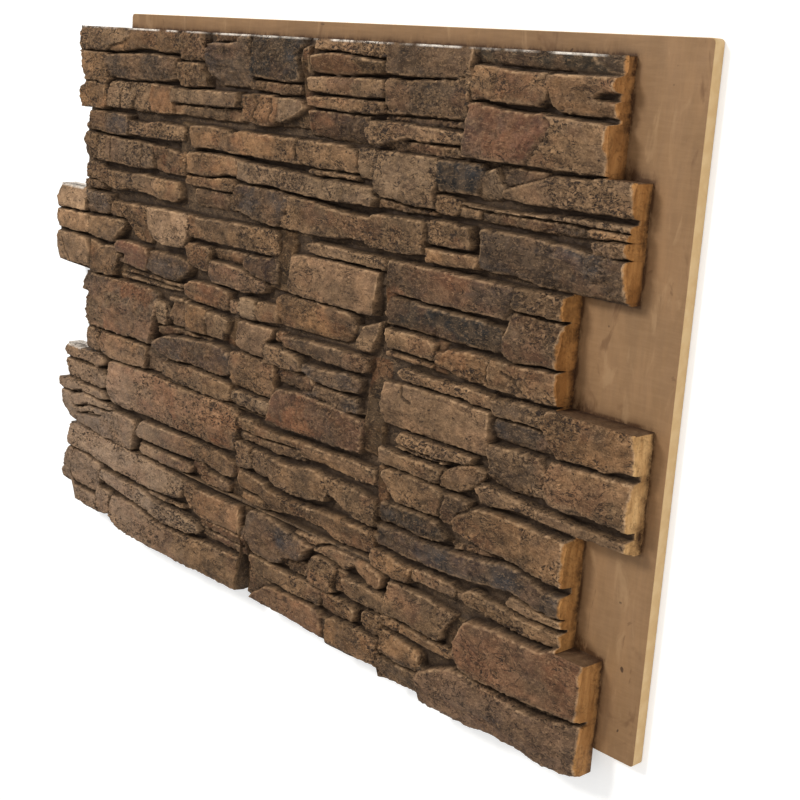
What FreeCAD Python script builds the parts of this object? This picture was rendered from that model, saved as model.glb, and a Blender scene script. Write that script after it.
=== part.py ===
"""Faux stone wall panel: a ledge-stone relief moulded in one piece with its flat mounting sheet.

Millimetres. The panel lies on its back: X runs along its length, Y up its face as it hangs on a wall,
Z out of the wall. The origin is in the plane of the sheet's flat back, in the middle of the whole outline.

Six courses of stacked stone stand on the sheet. Each course is shifted sideways, so that its right end
leaves a bare flange and its left end reaches past the sheet, to lie on the flange of the next panel.
The whole relief sits lower than the sheet in the same way, with a bare strip along the top.
"""
import FreeCAD, Part
import math
import os
import random

# Sheet
SHEET_LENGTH = 1220.0
SHEET_WIDTH = 914.0
SHEET_THICKNESS = 19.0
CORNER_RADIUS = 6.0
TOP_FLANGE = 26.0

# Relief
BED_DEPTH = 17.0
BED_INSET = 30.0
JOINT = 4.0
DRAFT_DEG = 9.0
BEVEL = 2.6
WAVER = 2.2
SEED = 12

# Courses from the top down. The lines between them fan out a little to the right, so each has its height over
# the sheet's left edge and over its right edge. Then come the bare flange left at its right end, and how far
# its left end reaches past the sheet. Its stones follow: rows from the bottom up, columns from the left.
LEFT_HEIGHTS = [142.0, 145.0, 152.0, 150.0, 156.0, 153.0]
RIGHT_HEIGHTS = [145.0, 149.0, 150.0, 158.0, 160.0, 168.0]
RIGHT_FLANGES = [109.0, 66.0, 156.0, 24.0, 112.0, 65.0]
LEFT_LAPS = [112.0, 88.0, 186.0, 86.0, 158.0, 150.0]


def stone(proud, lean=0.0, turn=0.0, reach=0.0, drop=0.0):
    """A stone whose face stands proud of the bed. Lean tips it up the wall, turn along it, in degrees.
    Reach is how far a stone at the left end stands out of line, and drop one at the lower edge."""
    return {"proud": proud, "lean": lean, "turn": turn, "reach": reach, "drop": drop}


def rows(*parts):
    """Parts stacked from the bottom up, each (height, part). Heights are filled out to the space there is."""
    return {"rows": parts}


def columns(*parts):
    """Parts side by side from the left, each (width, part)."""
    return {"columns": parts}


COURSE_1 = columns(
    (302, rows(
        (56, columns((74, stone(19, reach=6)), (100, stone(15, turn=3)), (52, stone(20)), (76, stone(19, turn=-2)))),
        (45, columns((82, stone(20, turn=2, reach=-4)), (220, stone(23, lean=-3)))),
        (42, columns((178, stone(21, lean=2, reach=3)), (124, stone(24, lean=-4)))))),
    (342, rows(
        (54, columns((185, stone(20, lean=-5)), (92, stone(22)), (65, stone(17, turn=-5)))),
        (89, columns(
            (78, rows((43, stone(18)), (46, stone(20)))),
            (82, rows((60, stone(22)), (29, stone(10)))),
            (182, stone(23, lean=3)))))),
    (338, rows(
        (46, columns((145, stone(13, lean=3)), (193, stone(20, lean=-3)))),
        (97, columns(
            (170, rows((18, stone(21)), (29, stone(23)), (50, stone(22, lean=-7)))),
            (168, rows((50, stone(20)), (47, stone(15, lean=4)))))))),
    (243, rows(
        (70, columns((133, stone(19)), (110, stone(21, turn=2)))),
        (48, columns((140, stone(20, lean=-3)), (103, stone(20)))),
        (25, stone(8)))),
)

COURSE_2 = columns(
    (316, rows(
        (52, columns((54, stone(17, reach=-4)), (262, stone(22, lean=-2)))),
        (53, columns((80, stone(19, turn=3, reach=3)), (130, stone(20)), (106, stone(13, turn=-6)))),
        (43, columns((136, stone(18, lean=2, reach=-8)), (180, stone(22)))))),
    (464, rows(
        (60, columns(
            (122, rows((24, stone(19)), (16, stone(6)), (20, stone(20)))),
            (130, stone(18, turn=-3)),
            (212, stone(21)))),
        (42, columns((150, stone(19)), (314, stone(23, lean=-2)))),
        (46, columns((287, stone(22)), (138, stone(21)), (39, stone(17)))))),
    (120, rows((60, stone(21)), (15, stone(9)), (73, stone(24)))),
    (340, rows(
        (62, columns((93, rows((24, stone(18)), (38, stone(22, turn=3)))), (247, stone(21, lean=-2)))),
        (38, columns((238, stone(18, lean=-7)), (102, stone(20)))),
        (48, columns((78, stone(14, turn=-4)), (50, stone(22, turn=4)), (212, stone(22)))))),
)

COURSE_3 = columns(
    (203, rows(
        (71, columns((128, stone(20, reach=2)), (75, stone(17, turn=3)))),
        (38, columns((108, stone(21, reach=7)), (95, stone(19)))),
        (41, columns((101, stone(20)), (102, stone(18, lean=3)))))),
    (220, rows(
        (23, stone(14, lean=-4)),
        (50, columns((93, stone(20, lean=-4)), (127, stone(16, lean=4)))),
        (77, columns((66, stone(19, turn=5)), (42, stone(20, turn=-4)), (112, stone(22)))))),
    (253, rows(
        (38, columns((115, stone(19)), (68, stone(20)), (70, stone(21, lean=3)))),
        (67, columns(
            (64, stone(18)),
            (189, rows((41, stone(19, lean=-3)), (26, columns((88, stone(8)), (101, stone(20)))))))),
        (45, stone(22)))),
    (242, rows(
        (56, columns((107, stone(21)), (135, stone(20, turn=-4)))),
        (67, columns((27, stone(4)), (215, stone(24, turn=2)))),
        (27, columns((62, stone(6)), (180, stone(23)))))),
    (231, rows(
        (47, columns((108, stone(20, lean=-3)), (123, stone(18)))),
        (44, stone(13, lean=4)),
        (59, stone(17, lean=-3)))),
    (101, rows((48, stone(19)), (64, stone(22, turn=2)), (38, stone(22)))),
)

COURSE_4 = columns(
    (229, rows(
        (56, columns((45, stone(18)), (184, stone(21, turn=2)))),
        (100, stone(22, lean=2, reach=3)))),
    (225, rows(
        (41, stone(18, lean=-6)),
        (61, stone(19, lean=4)),
        (54, columns((44, stone(20, turn=4)), (52, stone(16, turn=-5)), (60, stone(20, turn=4)), (69, stone(21, turn=-4)))))),
    (114, rows((38, stone(19)), (61, stone(23)), (57, stone(16, lean=-3, turn=3)))),
    (226, rows(
        (64, stone(20, lean=-2)),
        (28, columns((94, stone(18)), (132, stone(16)))),
        (28, columns((62, stone(21)), (164, stone(18, lean=3)))),
        (36, stone(19)))),
    (240, rows(
        (33, columns((150, stone(18)), (90, stone(20, turn=4)))),
        (28, stone(21, lean=-4)),
        (69, stone(16, turn=3)),
        (26, stone(21)))),
    (104, rows((27, stone(19, lean=2)), (64, stone(22)), (30, stone(7, lean=-4)), (35, stone(21)))),
    (142, rows((24, stone(20, lean=3)), (67, stone(21, turn=-2)), (65, stone(24)))),
)

COURSE_5 = columns(
    (546, rows(
        (78, columns(
            (162, stone(20, lean=-3, reach=14)),
            (92, stone(19, turn=-4)),
            (292, rows((30, stone(18)), (48, stone(21)))))),
        (78, columns((158, rows((45, stone(19, reach=-6)), (33, stone(18)))), (388, stone(23)))))),
    (344, rows(
        (57, columns((76, stone(17, turn=4)), (268, stone(21, lean=-3)))),
        (51, columns((44, stone(19, turn=-3)), (46, stone(18, turn=5)), (126, stone(20, lean=-3)), (128, stone(18, turn=-5)))),
        (48, columns((157, stone(19, lean=-5)), (187, stone(22, lean=-3)))))),
    (376, rows(
        (26, columns((84, stone(19)), (98, stone(17)), (194, stone(18)))),
        (51, columns((264, stone(20, lean=-3)), (112, rows((17, stone(19)), (34, stone(21)))))),
        (79, columns((145, rows((28, stone(19, lean=-4)), (51, stone(22)))), (231, stone(23, lean=-3)))))),
)

COURSE_6 = columns(
    (573, rows(
        (112, columns(
            (118, rows((40, stone(18, reach=-7, drop=-2)), (72, stone(20, lean=-3, reach=18)))),
            (455, rows(
                (68, columns((40, stone(18, turn=3)), (415, stone(21, lean=2, drop=6)))),
                (44, columns((152, stone(21, lean=-3)), (173, stone(19, lean=3)), (130, stone(15, lean=-6)))))))),
        (48, columns((393, stone(22, reach=-2)), (40, stone(18)), (140, stone(23)))))),
    (350, rows(
        (45, columns((206, stone(20, drop=-1)), (144, stone(22, turn=-2, drop=3)))),
        (37, columns((196, stone(18, lean=-5)), (98, stone(20)), (56, stone(21)))),
        (78, columns(
            (170, stone(22, lean=-4)),
            (72, stone(19, turn=5)),
            (108, rows((39, stone(21)), (39, stone(16, lean=3)))))))),
    (382, rows(
        (74, columns((95, stone(20, turn=-3, drop=8)), (287, stone(22, lean=-2, drop=5)))),
        (86, columns(
            (150, rows((25, stone(18, lean=-5)), (61, stone(22)))),
            (232, stone(23, lean=2)))))),
)

COURSES = [COURSE_1, COURSE_2, COURSE_3, COURSE_4, COURSE_5, COURSE_6]


def between(a, b, share):
    """The point at a share of the way from a to b."""
    return a + (b - a) * share


def running_shares(sizes):
    """The running shares at which parts of these sizes divide the space they fill."""
    total = sum(sizes)
    reached = 0.0
    shares = [0.0]
    for size in sizes:
        reached += size
        shares.append(reached / total)
    return shares


def lay(part, corners, draw):
    """Divides a space with corners (low left, low right, high right, high left) as its part says, and lists
    (stone, corners) for each stone."""
    low_left, low_right, high_right, high_left = corners
    if "rows" in part:
        shares = running_shares([p[0] for p in part["rows"]])
        laid = []
        left = [between(low_left, high_left, s) for s in shares]
        right = [between(low_right, high_right, s) for s in shares]
        for k in range(1, len(shares) - 1):
            left[k] = between(low_left, high_left, shares[k] + draw.uniform(-WAVER, WAVER) / (high_left - low_left).Length)
            right[k] = between(low_right, high_right, shares[k] + draw.uniform(-WAVER, WAVER) / (high_right - low_right).Length)
        for k, (_, inner) in enumerate(part["rows"]):
            laid += lay(inner, (left[k], right[k], right[k + 1], left[k + 1]), draw)
        return laid
    if "columns" in part:
        shares = running_shares([p[0] for p in part["columns"]])
        laid = []
        low = [between(low_left, low_right, s) for s in shares]
        high = [between(high_left, high_right, s) for s in shares]
        for k in range(1, len(shares) - 1):
            high[k] = between(high_left, high_right, shares[k] + draw.uniform(-WAVER, WAVER) / (high_right - high_left).Length)
        for k, (_, inner) in enumerate(part["columns"]):
            laid += lay(inner, (low[k], low[k + 1], high[k + 1], high[k]), draw)
        return laid
    low_left = between(low_left, low_right, -part["reach"] / (low_right - low_left).Length)
    high_left = between(high_left, high_right, -part["reach"] / (high_right - high_left).Length)
    low_left = between(low_left, high_left, -part["drop"] / (high_left - low_left).Length)
    low_right = between(low_right, high_right, -part["drop"] / (high_right - low_right).Length)
    return [(part, (low_left, low_right, high_right, high_left))]


def plane(normal, point):
    """A plane as its unit normal and its distance from the origin."""
    unit = FreeCAD.Vector(normal).normalize()
    return unit, unit.dot(point)


def meet(a, b, c):
    """The point that three planes share."""
    whole = a[0].dot(b[0].cross(c[0]))
    return (b[0].cross(c[0]) * a[1] + c[0].cross(a[0]) * b[1] + a[0].cross(b[0]) * c[1]) * (1.0 / whole)


def ring(outer, level):
    """The corners at which neighbouring side planes cross a level plane."""
    return [meet(outer[k - 1], outer[k], level) for k in range(len(outer))]


def skin(rings):
    """A closed solid through rings of corners, from the lowest to the highest."""
    faces = [Part.Face(Part.makePolygon(rings[0] + rings[0][:1])), Part.Face(Part.makePolygon(rings[-1] + rings[-1][:1]))]
    for low, high in zip(rings, rings[1:]):
        for k in range(len(low)):
            n = (k + 1) % len(low)
            faces.append(Part.Face(Part.makePolygon([low[k], low[n], high[n], high[k], low[k]])))
    solid = Part.Solid(Part.Shell(faces))
    if solid.Volume < 0:
        solid.reverse()
    return solid


def stone_solid(kind, corners, flush):
    """One stone: drafted sides round its space, a tipped face and a bevel between them. Flush sides, by
    number from the bottom and anticlockwise, lie on the end of the course with no joint and no draft."""
    sides = []
    for k in range(4):
        a, b = corners[k], corners[(k + 1) % 4]
        along = (b - a).normalize()
        out = FreeCAD.Vector(along.y, -along.x, 0)
        if k in flush:
            sides.append(plane(out, a))
        else:
            rise = FreeCAD.Vector(0, 0, math.sin(math.radians(DRAFT_DEG)))
            sides.append(plane(out * math.cos(math.radians(DRAFT_DEG)) + rise, a - out * (JOINT / 2)
                               + FreeCAD.Vector(0, 0, SHEET_THICKNESS + BED_DEPTH)))
    middle = (corners[0] + corners[1] + corners[2] + corners[3]) * 0.25
    tip = FreeCAD.Vector(math.tan(math.radians(kind["turn"])), -math.tan(math.radians(kind["lean"])), 1)
    top = SHEET_THICKNESS + BED_DEPTH + kind["proud"]
    face = plane(tip, middle + FreeCAD.Vector(0, 0, top))
    shoulder = plane(tip, middle + FreeCAD.Vector(0, 0, top - BEVEL))
    foot = plane(FreeCAD.Vector(0, 0, 1), FreeCAD.Vector(0, 0, SHEET_THICKNESS + BED_DEPTH * 0.5))
    shoulders = ring(sides, shoulder)
    bevels = []
    for k in range(4):
        bevels.append(sides[k] if k in flush else plane(sides[k][0] + face[0], shoulders[k]))
    return skin([ring(sides, foot), shoulders, ring(bevels, face)])


def bed(corners):
    """A flat piece of the bed with these corners."""
    points = [c + FreeCAD.Vector(0, 0, SHEET_THICKNESS) for c in corners]
    return Part.Face(Part.makePolygon(points + points[:1])).extrude(FreeCAD.Vector(0, 0, BED_DEPTH))


def on_line(heights, x, rise=0.0):
    """The point at x on a line between courses, which has these heights over the sheet's two edges."""
    return FreeCAD.Vector(x, between(heights[0], heights[1], x / SHEET_LENGTH + 0.5) + rise, 0)


def relief():
    """The beds and stones of the six courses. A bed stops short of the left end and of the lower edge, where
    each stone goes down to the sheet's level by itself."""
    draw = random.Random(SEED)
    solids = []
    high = (SHEET_WIDTH / 2 - TOP_FLANGE, SHEET_WIDTH / 2 - TOP_FLANGE)
    for number, layout in enumerate(COURSES):
        last = number == len(COURSES) - 1
        low = (high[0] - LEFT_HEIGHTS[number], high[1] - RIGHT_HEIGHTS[number])
        left = -SHEET_LENGTH / 2 - LEFT_LAPS[number]
        right = SHEET_LENGTH / 2 - RIGHT_FLANGES[number]
        inner = left + BED_INSET
        rise = BED_INSET / 2 if last else 0.0
        space = [on_line(low, left), on_line(low, right), on_line(high, right), on_line(high, left)]
        solids.append(bed([on_line(low, inner, rise), on_line(low, right, rise), space[2], on_line(high, inner)]))
        for kind, corners in lay(layout, space, draw):
            flush = set()
            if abs(corners[1].x - right) < 1e-6 and abs(corners[2].x - right) < 1e-6:
                flush.add(1)
            if number == 0 and abs(corners[2].y - high[1]) < 1e-6 and abs(corners[3].y - high[0]) < 1e-6:
                flush.add(2)
            at_left = corners[0].x < left + BED_INSET / 2
            at_foot = last and corners[0].y < on_line(low, corners[0].x).y + BED_INSET / 4
            if at_left or at_foot:
                solids.append(bed(corners))
            solids.append(stone_solid(kind, corners, flush))
        high = low
    return solids


def sheet():
    """The flat mounting sheet, with its four corners rounded."""
    board = Part.makeBox(SHEET_LENGTH, SHEET_WIDTH, SHEET_THICKNESS, FreeCAD.Vector(-SHEET_LENGTH / 2, -SHEET_WIDTH / 2, 0))
    upright = [e for e in board.Edges if abs(e.Vertexes[0].Z - e.Vertexes[1].Z) > SHEET_THICKNESS / 2]
    return board.makeFillet(CORNER_RADIUS, upright)


def main():
    os.makedirs("parts", exist_ok=True)
    solids = relief()
    print(len(solids), "solids, all valid:", all(s.isValid() for s in solids))
    panel = sheet().fuse(solids).removeSplitter()
    print("panel solids", len(panel.Solids), "valid", panel.isValid(), "faces", len(panel.Faces), "litres", round(panel.Volume / 1e6, 2))
    box = panel.BoundBox
    panel.translate(FreeCAD.Vector(-box.Center.x, -box.Center.y, 0))
    print("moved by", -box.Center.x, -box.Center.y)
    box = panel.BoundBox
    print("box", [round(v, 1) for v in (box.XMin, box.XMax, box.YMin, box.YMax, box.ZMin, box.ZMax)])
    panel.Solids[0].exportStep("parts/stone_panel.step")


main()
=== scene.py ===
"""Looks of the faux stone wall panel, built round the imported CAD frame.

The relief is one closed mesh for each course. Its stones are outlines in millimetres on the panel's face:
x from the sheet's left edge, y from its lower edge, z from the sheet's front. Each has a finish, the height
of its face, and how many degrees its face leans: above zero its upper edge is the prouder one.
"""
import math

import bpy
import numpy as np
from mathutils import Matrix, Vector


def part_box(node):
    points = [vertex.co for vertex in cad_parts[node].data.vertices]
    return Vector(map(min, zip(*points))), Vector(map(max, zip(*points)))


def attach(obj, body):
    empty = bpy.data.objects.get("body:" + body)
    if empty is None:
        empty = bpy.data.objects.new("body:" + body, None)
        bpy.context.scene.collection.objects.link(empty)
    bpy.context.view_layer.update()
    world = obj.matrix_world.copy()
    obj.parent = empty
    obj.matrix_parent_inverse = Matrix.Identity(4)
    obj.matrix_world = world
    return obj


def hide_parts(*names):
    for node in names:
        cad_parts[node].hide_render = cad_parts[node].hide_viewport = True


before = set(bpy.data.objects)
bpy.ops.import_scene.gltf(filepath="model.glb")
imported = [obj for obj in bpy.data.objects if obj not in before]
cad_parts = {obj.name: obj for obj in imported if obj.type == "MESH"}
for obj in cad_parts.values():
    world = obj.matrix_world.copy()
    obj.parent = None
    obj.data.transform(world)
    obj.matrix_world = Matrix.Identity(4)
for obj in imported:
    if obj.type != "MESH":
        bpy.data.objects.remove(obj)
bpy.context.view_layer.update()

NODE = "stone_panel"
MM = 0.001
LOW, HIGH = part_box(NODE)

# The sheet (mm), the radius of its corners, the ease of its edge, and its lower left corner in the frame.
SHEET_LENGTH = 1220.0
SHEET_WIDTH = 914.0
SHEET_THICKNESS = 19.0
CORNER = 6.0
EASE = 0.9
ORIGIN_X = HIGH.x / MM - SHEET_LENGTH
ORIGIN_Y = HIGH.y / MM - SHEET_WIDTH
# How far the relief may reach, a little inside the CAD box.
LEFT_LIMIT = LOW.x / MM - ORIGIN_X + 0.2
LOWER_LIMIT = LOW.y / MM - ORIGIN_Y + 0.2
TOP_LIMIT = HIGH.z / MM - SHEET_THICKNESS - 0.3

# Cell of the relief's grid, height of the joints' bed, and right ends of the courses from the top down.
CELL = 1.8
BED = 17.0
RIGHT_ENDS = [1111.0, 1154.0, 1064.0, 1196.0, 1106.0, 1154.0]
# The lines above the courses, from the top down, by their heights at the two ends of LINE_SPAN.
LINES = [(889.0, 889.0), (747.0, 743.0), (602.0, 594.0), (450.0, 444.0), (301.0, 286.0), (146.0, 126.0)]
LINE_SPAN = (-150.0, 1150.0)

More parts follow.
